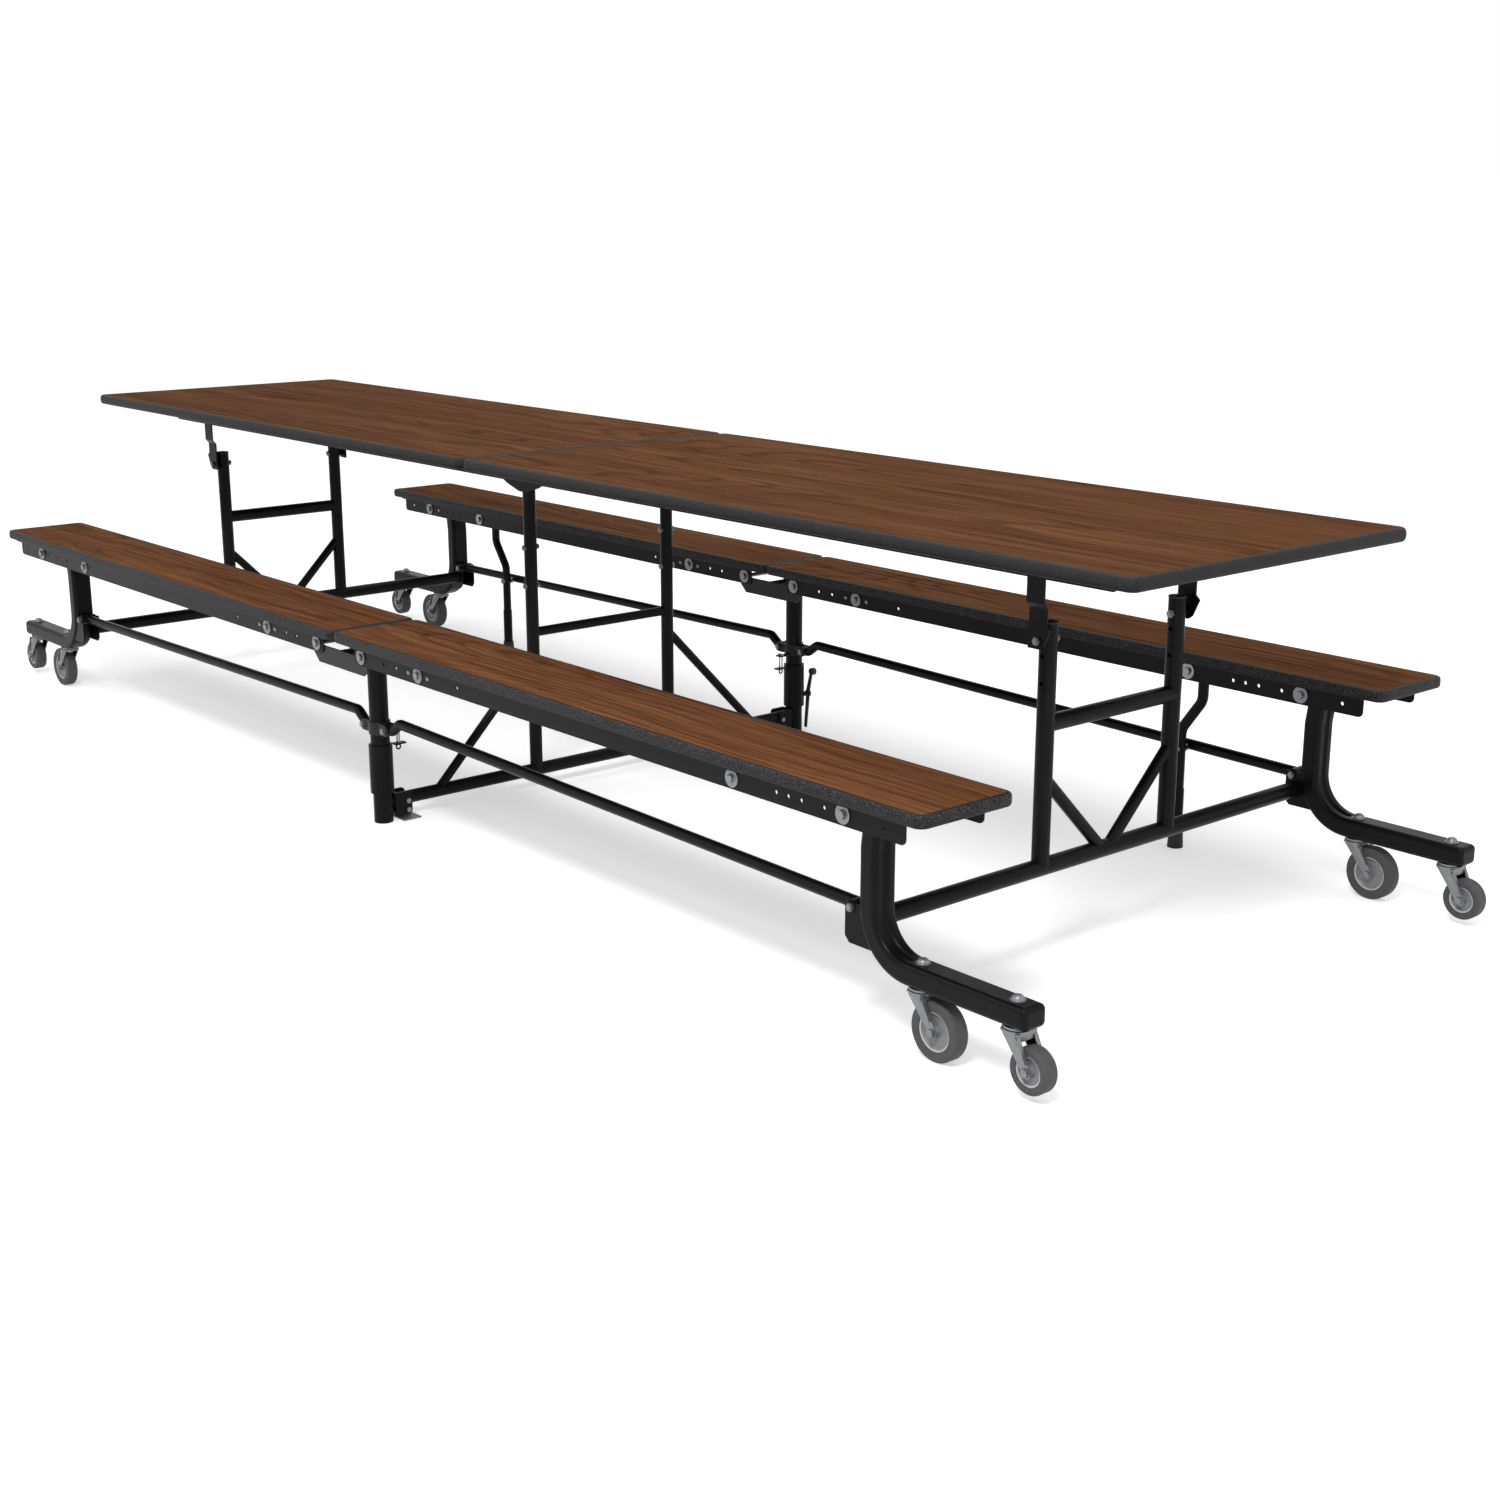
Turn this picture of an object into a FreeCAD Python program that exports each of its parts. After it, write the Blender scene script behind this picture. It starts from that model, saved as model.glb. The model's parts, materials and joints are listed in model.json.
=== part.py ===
import FreeCAD, Part
import math
import os

# Folding cafeteria table with fixed benches: two halves that fold up about a centre frame.
# Units mm.  +X along the length, +Y across, +Z up.  Origin on the floor under the centre.
# R is the +X half, L the -X half, F the -Y bench, B the +Y bench.

V = FreeCAD.Vector
os.makedirs("parts", exist_ok=True)

# ---- fits
FIT = 0.05
FACE_GAP = 0.3
WELD = 0.3

# ---- boards
TABLE_TOP_Z = 762.0
TABLE_THICK = 25.0
TABLE_HALF_WID = 368.0
BENCH_TOP_Z = 431.6
BENCH_THICK = 22.0
BENCH_HALF_WID = 104.5
BENCH_Y = 594.0
SEAM = 1.5
EDGE_W = 4.5
PLAN_R = 20.0
TABLE_LOW_Z = TABLE_TOP_Z - TABLE_THICK
BENCH_LOW_Z = BENCH_TOP_Z - BENCH_THICK

# ---- end leg: rounded rectangular tube bent into an L, its foot along X
LEG_Y = BENCH_Y - 2.0
LEG_W = 51.0
LEG_D = 38.0
LEG_R = 10.0
LEG_WALL = 3.0
LEG_CAP = 6.0
FOOT_Z = 132.0
FOOT_TOP = FOOT_Z + LEG_D / 2.0
FOOT_LOW = FOOT_Z - LEG_D / 2.0
FOOT_ROUND = 9.0
BEND = 88.0
GROOVE_R = 8.0
GROOVE_OUT = 3.0
GROOVE_ROOM = 10.0

# ---- linkage: every link has the same pivot-to-pivot length, so the frames stay upright
LINK = 1446.0
TABLE_PIVOT = (54.0, TABLE_LOW_Z - 21.0)
BENCH_PIVOT = (91.0, BENCH_LOW_Z - 19.0)
ROD_PIVOT = (42.0, FOOT_Z + 78.6)
PIN_R = 5.0
HOLE_R = PIN_R + FIT

# ---- stations along X: the end post past the table's far pivot, the rest past the end post
END_X = TABLE_PIVOT[0] + LINK - 5.0
TABLE_HALF_LEN = END_X + 334.0
BENCH_HALF_LEN = END_X + 227.5
LEG_X = END_X + 30.0
FOOT_END = END_X + 371.0
LEG_TOP = (END_X + 39.5, BENCH_PIVOT[1] + 6.4)
LEG_KNEE_Z = LEG_TOP[1] - 77.0

# ---- centre frame
CPOST_Y = 191.0
CPOST_R = 14.3
CPOST_TOP = TABLE_PIVOT[1] - 26.0
CPOST_BOLTS = (CPOST_TOP - 138.0, CPOST_TOP - 224.0)
CPOST_BOLT_R = 4.0
CPOST_CAP = 3.0
WALL = 2.0
BAR_Z = 43.0
BAR_R = 14.3
CRUNG_Z = 360.0
CRUNG_R = 10.5
CDIAG_TOP = 308.0
CDIAG_OUT = 264.0
CDIAG_R = 10.0
GUSSET_T = 3.3
GUSSET_LOBE = 20.2
GUSSET_Y = CPOST_Y + CPOST_R - WELD
GUSSET_FACE = GUSSET_Y + GUSSET_T

# ---- rails under the boards
RAIL_T = 2.5
RAIL_CORNER = 10.0
TOP_RAIL_Y = GUSSET_FACE + 0.5 + RAIL_T
TOP_RAIL_DEEP = 40.0
TOP_RAIL_X = (30.0, END_X + 175.0)
TOP_FLANGE = 25.0
SEAT_RAIL_OFF = 86.0
SEAT_RAIL_DEEP = 38.0
SEAT_RAIL_X = (66.0, END_X + 178.0)
SEAT_FLANGE = 12.0
RAIL_HOLE_R = 3.6
RAIL_HOLES = (180.0, 226.0, 449.0, END_X - 115.0, END_X - 86.0, END_X - 55.0, END_X - 2.0, END_X + 133.0)

# ---- end frame
STRAP_T = 3.5
STRAP_W = 39.0
STRAP_FACE = TOP_RAIL_Y - RAIL_T - FACE_GAP
STRAP_JOGGLE = 8.5
STRAP_TOP = TABLE_PIVOT[1] + 19.0
STRAP_ROUND = 14.0
STRAP_LOW_FACE = STRAP_FACE - STRAP_JOGGLE
POST_R = 15.9
POST_Y = STRAP_LOW_FACE - STRAP_T - 9.6 - POST_R
CROSS_Z = FOOT_Z + 51.0
END_POST_TOP = TABLE_PIVOT[1] - 98.0
END_RUNG_Z = 440.0
END_RUNG_R = 14.3
END_DIAG_TOP = CROSS_Z + 147.0
END_DIAG_IN = 109.0
END_DIAG_R = 9.5
STRAP_BOLT_Z = END_POST_TOP - 30.0
STRAP_BOLT_R = 4.5
POST_HOLES = (END_POST_TOP - 58.0, END_POST_TOP - 106.0)
POST_HOLE_R = 4.0
BRACKET_T = 3.0
BRACKET_IN = 19.0
BRACKET_OUT = BRACKET_IN + BRACKET_T
CROSS_END = LEG_Y - BRACKET_OUT

# ---- bolts
HEAD_T = 5.0
HEAD_GAP = 0.1
TAIL = 7.0
WASHER_T = 2.0
WASHER_R = 16.0
HEX_R = 8.0
HEX_SMALL_R = 7.5
HEX_BIG_R = 8.5

# ---- casters: stem past the end post, trail, axle height, wheel radius
IN_WHEEL_R = 51.0
OUT_WHEEL_R = 38.0
CASTERS = {"in": (135.0, 39.0, IN_WHEEL_R, IN_WHEEL_R), "out": (334.0, 36.0, 50.0, OUT_WHEEL_R)}
WHEEL_W = 28.0
HUB_PROUD = 1.2
HUB_R = 9.0
HUB_SHARE = 0.64
HUB_DISH = 6.0
TYRE_ROUND = 5.0
AXLE_R = 4.0
AXLE_HEX_R = 7.0
STEM_R = 6.0
KING_FLANGE = (13.0, 1.5)
KING_DOME_R = 11.0
KING_DOME_H = 7.0
KING_NUT = (9.0, 5.0)
KING_DROP = 16.0
FORK_T = 2.5
FORK_HALF = 18.0
FORK_TIP = 9.5
FORK_LIP = 5.0
RACE_R = 22.0
RACE_DEEP = 9.0
RACE_NECK = (18.5, 1.6)

# ---- centre legs and what is on them
CLEG_R = 20.5
CLEG_WALL = 2.5
CLEG_CAP = 6.0
CLEG_TOP = BENCH_PIVOT[1] - 29.6
SLEEVE_R = 25.4
SLEEVE_Z = (66.0, 172.0)
HINGE_T = 3.2
HINGE_LOBE = 17.5
HINGE_FACE = SEAT_RAIL_OFF - RAIL_T - FACE_GAP
SPREADER_HALF = 19.0
SPREADER_DEEP = 24.0
CLAMP_T = 3.0
CLAMP_HALF = 14.0
CLAMP_R = CLEG_R + CLAMP_T
EAR_IN = 11.6
EAR_OUT = EAR_IN + CLAMP_T
EAR_HALF = 12.0

# ---- foot brackets and glides of the centre frame
FEET_Y = (530.0, 560.0)
GLIDE_T = 3.0
GLIDE_LEN = 30.0
GLIDE_WIDE = 14.0
GLIDE_HIGH = 50.0
BRACKET_Z = (10.0, 62.0)
BRACKET_ROUND = 8.0
BRACKET_X = BAR_R + 3.1
FOOT_SCREW_Y = 540.0
FOOT_SCREW_Z = (20.0, 40.0)
FOOT_SCREW_R = 3.0
FOOT_SCREW_HEAD = (5.5, 3.5)

# ---- lock lever on the rear centre leg, pull pins on both
LEVER_X = 18.0
LEVER_Z = SLEEVE_Z[0] + 29.0
LEVER_Y = LEG_Y + SLEEVE_R + 3.6
LEVER_T = 4.0
LEVER_PIN_R = 4.0
LEVER_BOSS_R = 9.0
LEVER_KNOB = (9.0, 11.0)
PULL_Y = LEG_Y - 44.0
PULL_R = 1.6
PULL_APART = 4.5
PULL_LOW = 165.0
PULL_RING = (5.0, 1.7)
PULL_TAB_HALF = 9.0
TAB_TOP = ROD_PIVOT[1] - CLAMP_HALF + CLAMP_T

# ---- lower rods and drop legs
ROD_R = 11.0
ROD_KNEE = (ROD_PIVOT[0] + 43.0, ROD_PIVOT[1] + 21.4)
ROD_BEND = 19.0
DROP_Y = LEG_Y - 30.0
DROP_R = 11.0
DROP_BACK = 266.0
DROP_KNEES = (BENCH_PIVOT[1] - 70.6, ROD_PIVOT[1] + 41.4)
DROP_BEND = 36.0
DROP_SLEEVE_R = 12.5
DROP_SLEEVE_TOP = 125.0
DROP_LOW = 6.0
BOOT_TOP = 32.0
BOOT_FOOT_R = 16.5
BOOT_WALL = 2.2


def end_x(pivot):
    return pivot[0] + LINK


def box(x0, x1, y0, y1, z0, z1):
    return Part.makeBox(x1 - x0, y1 - y0, z1 - z0, V(x0, y0, z0))


def bar(p, q, r):
    p, q = V(*p), V(*q)
    return Part.makeCylinder(r, (q - p).Length, p, q - p)


def pin_y(x, z, y0, y1, r):
    return Part.makeCylinder(r, y1 - y0, V(x, y0, z), V(0, 1, 0))


def poly_xz(points, y0, y1):
    wire = Part.makePolygon([V(x, y0, z) for x, z in points + points[:1]])
    return Part.Face(wire).extrude(V(0, y1 - y0, 0))


def hex_y(x, z, y0, y1, r):
    pts = [(x + r * math.cos(math.radians(60 * k)), z + r * math.sin(math.radians(60 * k)))
           for k in range(6)]
    return poly_xz(pts, y0, y1)


def fuse(shapes):
    out = shapes[0]
    if len(shapes) > 1:
        out = shapes[0].multiFuse(shapes[1:])
    return out.removeSplitter()


def group(shapes):
    solids = []
    for s in shapes:
        solids += s.Solids
    return Part.makeCompound(solids)


def flip_x(shape):
    return shape.mirror(V(0, 0, 0), V(1, 0, 0))


def flip_y(shape):
    return shape.mirror(V(0, 0, 0), V(0, 1, 0))


def place(shape, sx, sy=1):
    if sx < 0:
        shape = flip_x(shape)
    if sy < 0:
        shape = flip_y(shape)
    return shape


def save(name, shape):
    if shape.ShapeType != "Solid" and len(shape.Solids) == 1:
        shape = shape.Solids[0]
    shape.exportStep("parts/" + name + ".step")


def rounded_wire(to3, w, h, r):
    a, b = w / 2.0, h / 2.0
    k = r * (1 - math.sqrt(0.5))
    edges = []
    corners = ((1, 1), (-1, 1), (-1, -1), (1, -1))
    for i, (su, sv) in enumerate(corners):
        first, last = (su * a, sv * (b - r)), (su * (a - r), sv * b)
        if i % 2:
            first, last = last, first
        mid = (su * (a - k), sv * (b - k))
        edges.append(Part.Arc(to3(*first), to3(*mid), to3(*last)).toShape())
        nu, nv = corners[(i + 1) % 4]
        nxt = (nu * a, nv * (b - r)) if i % 2 else (nu * (a - r), nv * b)
        edges.append(Part.makeLine(to3(*last), to3(*nxt)))
    return Part.Wire(edges)


def tube_path(points, r, bend):
    """Round bar along points in one plane, with arcs of radius bend at the corners."""
    pts = [V(*p) for p in points]
    edges = []
    start = pts[0]
    for i in range(1, len(pts) - 1):
        a = (pts[i - 1] - pts[i]).normalize()
        b = (pts[i + 1] - pts[i]).normalize()
        half = a.getAngle(b) / 2.0
        cut = bend / math.tan(half)
        first, last = pts[i] + a * cut, pts[i] + b * cut
        axis = (a + b).normalize()
        mid = pts[i] + axis * (bend / math.sin(half) - bend)
        edges.append(Part.makeLine(start, first))
        edges.append(Part.Arc(first, mid, last).toShape())
        start = last
    edges.append(Part.makeLine(start, pts[-1]))
    circle = Part.Wire([Part.makeCircle(r, pts[0], pts[1] - pts[0])])
    return Part.Wire(edges).makePipeShell([circle], True, False)


# ---------------------------------------------------------------- boards and rails

def board_pair(half_len, half_wid, y_mid, top_z, thick):
    """Laminated board and the moulded band around it, for the R half."""
    x0, x1 = SEAM, half_len
    w, h = x1 - x0, 2 * half_wid
    cx = (x0 + x1) / 2.0

    def to3(u, v):
        return V(cx + u, y_mid + v, top_z - thick)

    outer = Part.Face(rounded_wire(to3, w, h, PLAN_R)).extrude(V(0, 0, thick))
    inner_wire = rounded_wire(to3, w - 2 * EDGE_W, h - 2 * EDGE_W, PLAN_R - EDGE_W)
    inner = Part.Face(inner_wire).extrude(V(0, 0, thick))
    rims = [e for e in outer.Edges if abs(e.Vertexes[0].Z - e.Vertexes[-1].Z) < 1e-6]
    band = outer.makeFillet(EDGE_W - WELD, rims).cut(inner)
    return inner, band


def rail(x0, x1, z0, z1, y_out, flange, pivots, holes):
    """Angle rail: a web facing +Y at y_out, a flange outward under the board."""
    web = box(x0, x1, y_out - RAIL_T, y_out, z0, z1)
    low = [e for e in web.Edges
           if abs(e.Vertexes[0].X - e.Vertexes[-1].X) < 1e-6
           and abs(e.Vertexes[0].Z - e.Vertexes[-1].Z) < 1e-6
           and e.Vertexes[0].Z < z0 + 1]
    web = web.makeFillet(RAIL_CORNER, low)
    plate = box(x0, x1, y_out - RAIL_T, y_out + flange, z1 - RAIL_T, z1)
    body = fuse([web, plate])
    for x, z in pivots:
        body = body.cut(pin_y(x, z, y_out - 2 * RAIL_T, y_out + RAIL_T, HOLE_R))
    for x in holes:
        body = body.cut(pin_y(x, (z0 + z1) / 2.0, y_out - 2 * RAIL_T, y_out + RAIL_T, RAIL_HOLE_R))
    return body


def table_half(side, sx):
    board, band = board_pair(TABLE_HALF_LEN, TABLE_HALF_WID, 0.0, TABLE_TOP_Z, TABLE_THICK)
    save("top_board_" + side, place(board, sx))
    save("top_edge_" + side, place(band, sx))
    pivots = [TABLE_PIVOT, (end_x(TABLE_PIVOT), TABLE_PIVOT[1])]
    one = rail(TOP_RAIL_X[0], TOP_RAIL_X[1], TABLE_LOW_Z - TOP_RAIL_DEEP, TABLE_LOW_Z,
               TOP_RAIL_Y, TOP_FLANGE, pivots, [])
    save("top_rails_" + side, group([place(one, sx), place(one, sx, -1)]))


def bench_half(side, sx, row, sy):
    board, band = board_pair(BENCH_HALF_LEN, BENCH_HALF_WID, BENCH_Y, BENCH_TOP_Z, BENCH_THICK)
    save("seat_board_" + row + side, place(board, sx, sy))
    save("seat_edge_" + row + side, place(band, sx, sy))
    z = BENCH_PIVOT[1]
    pivots = [BENCH_PIVOT, (end_x(BENCH_PIVOT), z)]
    if row == "B":
        pivots.append((end_x(BENCH_PIVOT) - DROP_BACK, z))
    one = rail(SEAT_RAIL_X[0], SEAT_RAIL_X[1], BENCH_LOW_Z - SEAT_RAIL_DEEP, BENCH_LOW_Z,
               SEAT_RAIL_OFF, SEAT_FLANGE, pivots, RAIL_HOLES)
    outer = one.translated(V(0, BENCH_Y, 0))
    inner = flip_y(one).translated(V(0, BENCH_Y, 0))
    save("seat_rails_" + row + side, group([place(outer, sx, sy), place(inner, sx, sy)]))


# ---------------------------------------------------------------- end frame

def end_frame():
    """Crossbar, two posts with caps, a rung and two braces, all tube."""
    reach = POST_Y + 2 * POST_R
    parts = [bar((END_X, -CROSS_END, CROSS_Z), (END_X, CROSS_END, CROSS_Z), POST_R)]
    parts.append(bar((END_X, -POST_Y, END_RUNG_Z), (END_X, POST_Y, END_RUNG_Z), END_RUNG_R))
    for s in (-1, 1):
        post, brace_foot = s * POST_Y, s * (POST_Y - END_DIAG_IN)
        parts.append(bar((END_X, post, CROSS_Z), (END_X, post, END_POST_TOP), POST_R))
        parts.append(bar((END_X, post, END_DIAG_TOP), (END_X, brace_foot, CROSS_Z), END_DIAG_R))
    body = fuse(parts)
    inside = CROSS_END - WALL
    body = body.cut(bar((END_X, -inside, CROSS_Z), (END_X, inside, CROSS_Z), POST_R - WALL))
    free = POST_Y - POST_R
    body = body.cut(bar((END_X, -free, END_RUNG_Z), (END_X, free, END_RUNG_Z), END_RUNG_R - WALL))
    for s in (-1, 1):
        body = body.cut(bar((END_X, s * POST_Y, CROSS_Z + POST_R + WALL),
                            (END_X, s * POST_Y, END_POST_TOP - CPOST_CAP), POST_R - WALL))
        notch = box(LEG_X - LEG_D / 2.0, LEG_X, LEG_Y - LEG_W / 2.0, LEG_Y,
                    CROSS_Z - POST_R, CROSS_Z + POST_R)
        body = body.cut(place(notch, 1, s))
    for z in POST_HOLES:
        body = body.cut(pin_y(END_X, z, -reach, reach, POST_HOLE_R))
    return body.cut(pin_y(END_X, STRAP_BOLT_Z, -reach, reach, STRAP_BOLT_R + FIT))


def leg_sweep(w, d, r, shift, trim):
    """Rounded section along foot, bend, upright and leaning top; shift moves it inside the bend."""
    z_foot = FOOT_Z - shift
    x_up = LEG_X - shift
    x_bend = LEG_X + BEND
    z_bend = FOOT_Z + BEND
    foot = Part.Face(rounded_wire(lambda u, v: V(x_bend, LEG_Y + u, z_foot + v), w, d, r))
    pieces = [foot.extrude(V(FOOT_END - trim - x_bend, 0, 0))]
    pieces.append(foot.revolve(V(x_bend, 0, z_bend), V(0, 1, 0), 90))
    up = Part.Face(rounded_wire(lambda u, v: V(x_up + v, LEG_Y + u, z_bend), w, d, r))
    pieces.append(up.extrude(V(0, 0, LEG_KNEE_Z - z_bend)))
    low = rounded_wire(lambda u, v: V(x_up + v, LEG_Y + u, LEG_KNEE_Z), w, d, r)
    top = rounded_wire(lambda u, v: V(LEG_TOP[0] - shift + v, LEG_Y + u, LEG_TOP[1] - trim), w, d, r)
    pieces.append(Part.makeLoft([low, top], True, True))
    return pieces


def rounded_foot(piece):
    rim = [e for e in piece.Edges if all(abs(p.X - FOOT_END) < 1e-6 for p in e.Vertexes)]
    return piece.makeFillet(FOOT_ROUND, rim)


def leg_groove():
    x_bend = LEG_X + BEND
    z_bend = FOOT_Z + BEND
    off = LEG_D / 2.0 + GROOVE_OUT
    disc = Part.Face(Part.Wire([Part.makeCircle(GROOVE_R, V(LEG_X + off, LEG_Y, z_bend))]))
    up = disc.extrude(V(0, 0, LEG_KNEE_Z - z_bend))
    ring = disc.revolve(V(x_bend, 0, z_bend), V(0, 1, 0), -90)
    top = bar((LEG_X + off, LEG_Y, LEG_KNEE_Z - 1), (LEG_TOP[0] + off, LEG_Y, LEG_TOP[1] + 1), GROOVE_R)
    return [up, ring, top]


def leg_bracket():
    """Two cheek plates behind the leg, on both sides of the rod's end."""
    x, z = end_x(ROD_PIVOT), ROD_PIVOT[1]
    low = FOOT_TOP - 1.4
    outline = [(x - 14, z + 8), (x - 14, low + 11), (x - 4, low), (LEG_X + 11, low),
               (LEG_X - 13, z - 20), (LEG_X - 13, z + 8)]
    cheek = poly_xz(outline, BRACKET_IN, BRACKET_OUT)
    return [part.translated(V(0, LEG_Y, 0)) for part in (cheek, flip_y(cheek))]


def end_leg():
    outer = leg_sweep(LEG_W, LEG_D, LEG_R, 0.0, 0.0)
    outer[0] = rounded_foot(outer[0])
    body = fuse(outer)
    for g in leg_groove():
        body = body.cut(g)
    body = fuse([body] + leg_bracket())
    hollow = leg_sweep(LEG_W - 2 * LEG_WALL, LEG_D - 2 * LEG_WALL - GROOVE_ROOM,
                       LEG_R - LEG_WALL - 1, GROOVE_ROOM / 2.0, LEG_CAP)
    for piece in hollow:
        body = body.cut(piece)
    for pivot in (BENCH_PIVOT, ROD_PIVOT):
        body = body.cut(pin_y(end_x(pivot), pivot[1], LEG_Y - LEG_W, LEG_Y + LEG_W, HOLE_R))
    for stem, trail, az, wr in CASTERS.values():
        hole = Part.makeCylinder(STEM_R + FIT, 2 * LEG_D, V(END_X + stem, LEG_Y, FOOT_Z - LEG_D), V(0, 0, 1))
        body = body.cut(hole)
    return body


def table_strap():
    """Joggled channel bolted to the post, which carries the table rail's pivot."""
    x0, x1 = END_X - STRAP_W / 2.0, END_X + STRAP_W / 2.0
    low_z, knee, joggle_top = STRAP_BOLT_Z - 17.0, STRAP_BOLT_Z + 52.0, STRAP_BOLT_Z + 64.0
    low_in, up_in = STRAP_LOW_FACE - STRAP_T, STRAP_FACE - STRAP_T
    low = box(x0, x1, low_in, STRAP_LOW_FACE, low_z, knee)
    corners_yz = [(low_in, knee), (STRAP_LOW_FACE, knee), (STRAP_FACE, joggle_top), (up_in, joggle_top)]
    ring = [V(x0, y, z) for y, z in corners_yz]
    joggle = Part.Face(Part.makePolygon(ring + ring[:1])).extrude(V(x1 - x0, 0, 0))
    up = box(x0, x1, up_in, STRAP_FACE, joggle_top, STRAP_TOP)
    corners = [e for e in up.Edges
               if abs(e.Vertexes[0].X - e.Vertexes[-1].X) < 1e-6
               and abs(e.Vertexes[0].Z - e.Vertexes[-1].Z) < 1e-6
               and e.Vertexes[0].Z > STRAP_TOP - 1]
    up = up.makeFillet(STRAP_ROUND, corners)
    parts = [low, joggle, up]
    lip, bay = POST_Y + 1.0, POST_Y + 19.0
    for s in (-1, 1):
        a = END_X + s * (POST_R + FIT)
        side = [(STRAP_LOW_FACE, knee), (STRAP_LOW_FACE, low_z), (bay, low_z),
                (lip, STRAP_BOLT_Z + 8), (lip, STRAP_BOLT_Z + 34), (bay, knee)]
        pts = [V(a, y, z) for y, z in side]
        parts.append(Part.Face(Part.makePolygon(pts + pts[:1])).extrude(V(s * STRAP_T, 0, 0)))
    body = fuse(parts)
    reach = STRAP_FACE + STRAP_T
    body = body.cut(pin_y(END_X, STRAP_BOLT_Z, POST_Y, reach, STRAP_BOLT_R + FIT))
    return body.cut(pin_y(end_x(TABLE_PIVOT), TABLE_PIVOT[1], POST_Y, reach, HOLE_R))


def bolt(x, z, y0, y1, r, head, washer=0.0):
    """Through bolt along Y between outer faces y0 and y1: shank, two heads, two washers."""
    parts = [pin_y(x, z, y0 - TAIL, y1 + TAIL, r)]
    base = HEAD_GAP
    if washer:
        base = FACE_GAP + WASHER_T - HEAD_GAP
        parts.append(pin_y(x, z, y0 - FACE_GAP - WASHER_T, y0 - FACE_GAP, washer))
        parts.append(pin_y(x, z, y1 + FACE_GAP, y1 + FACE_GAP + WASHER_T, washer))
    parts.append(hex_y(x, z, y0 - base - HEAD_T, y0 - base, head))
    parts.append(hex_y(x, z, y1 + base, y1 + base + HEAD_T, head))
    return fuse(parts)


def table_bolt(x):
    return bolt(x, TABLE_PIVOT[1], GUSSET_Y - HEAD_GAP, TOP_RAIL_Y + 2 * HEAD_GAP, PIN_R, HEX_BIG_R)


def bench_bolt(x):
    return bolt(x, BENCH_PIVOT[1], BENCH_Y - SEAT_RAIL_OFF, BENCH_Y + SEAT_RAIL_OFF, PIN_R, HEX_R, WASHER_R)


def rod_bolt(x, half):
    return bolt(x, ROD_PIVOT[1], LEG_Y - half, LEG_Y + half, PIN_R, HEX_SMALL_R)


def king_bolt(stem):
    """Caster's king bolt: a shank, a flanged dome on the foot and a nut under the fork."""
    x, low = END_X + stem, FOOT_LOW - KING_DROP
    up = V(0, 0, 1)
    shank = Part.makeCylinder(STEM_R, FOOT_TOP - low, V(x, LEG_Y, low), up)
    flange = Part.makeCylinder(KING_FLANGE[0], KING_FLANGE[1], V(x, LEG_Y, FOOT_TOP), up)
    ball = (KING_DOME_R ** 2 + KING_DOME_H ** 2) / (2 * KING_DOME_H)
    rise = math.degrees(math.asin((ball - KING_DOME_H) / ball))
    seat = V(x, LEG_Y, FOOT_TOP + KING_FLANGE[1] + KING_DOME_H - ball)
    dome = Part.makeSphere(ball, seat, up, rise, 90.0)
    nut = Part.makeCylinder(KING_NUT[0], KING_NUT[1], V(x, LEG_Y, low), up)
    return fuse([shank, flange, dome, nut])


def end_fasteners():
    out = []
    for s in (-1, 1):
        strap = bolt(END_X, STRAP_BOLT_Z, POST_Y - POST_R, STRAP_LOW_FACE, STRAP_BOLT_R, HEX_SMALL_R)
        pivots = [strap, table_bolt(end_x(TABLE_PIVOT)), bench_bolt(end_x(BENCH_PIVOT)),
                  rod_bolt(end_x(ROD_PIVOT), BRACKET_OUT)]
        out += [place(b, 1, s) for b in pivots]
        for caster in CASTERS.values():
            out.append(place(king_bolt(caster[0]), 1, s))
    return group(out)


def end_assembly(side, sx):
    save("end_frame_" + side, place(end_frame(), sx))
    leg = end_leg()
    save("end_legs_" + side, group([place(leg, sx), place(leg, sx, -1)]))
    strap = table_strap()
    save("end_straps_" + side, group([place(strap, sx), place(strap, sx, -1)]))
    save("end_fasteners_" + side, place(end_fasteners(), sx))


# ---------------------------------------------------------------- casters

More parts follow.
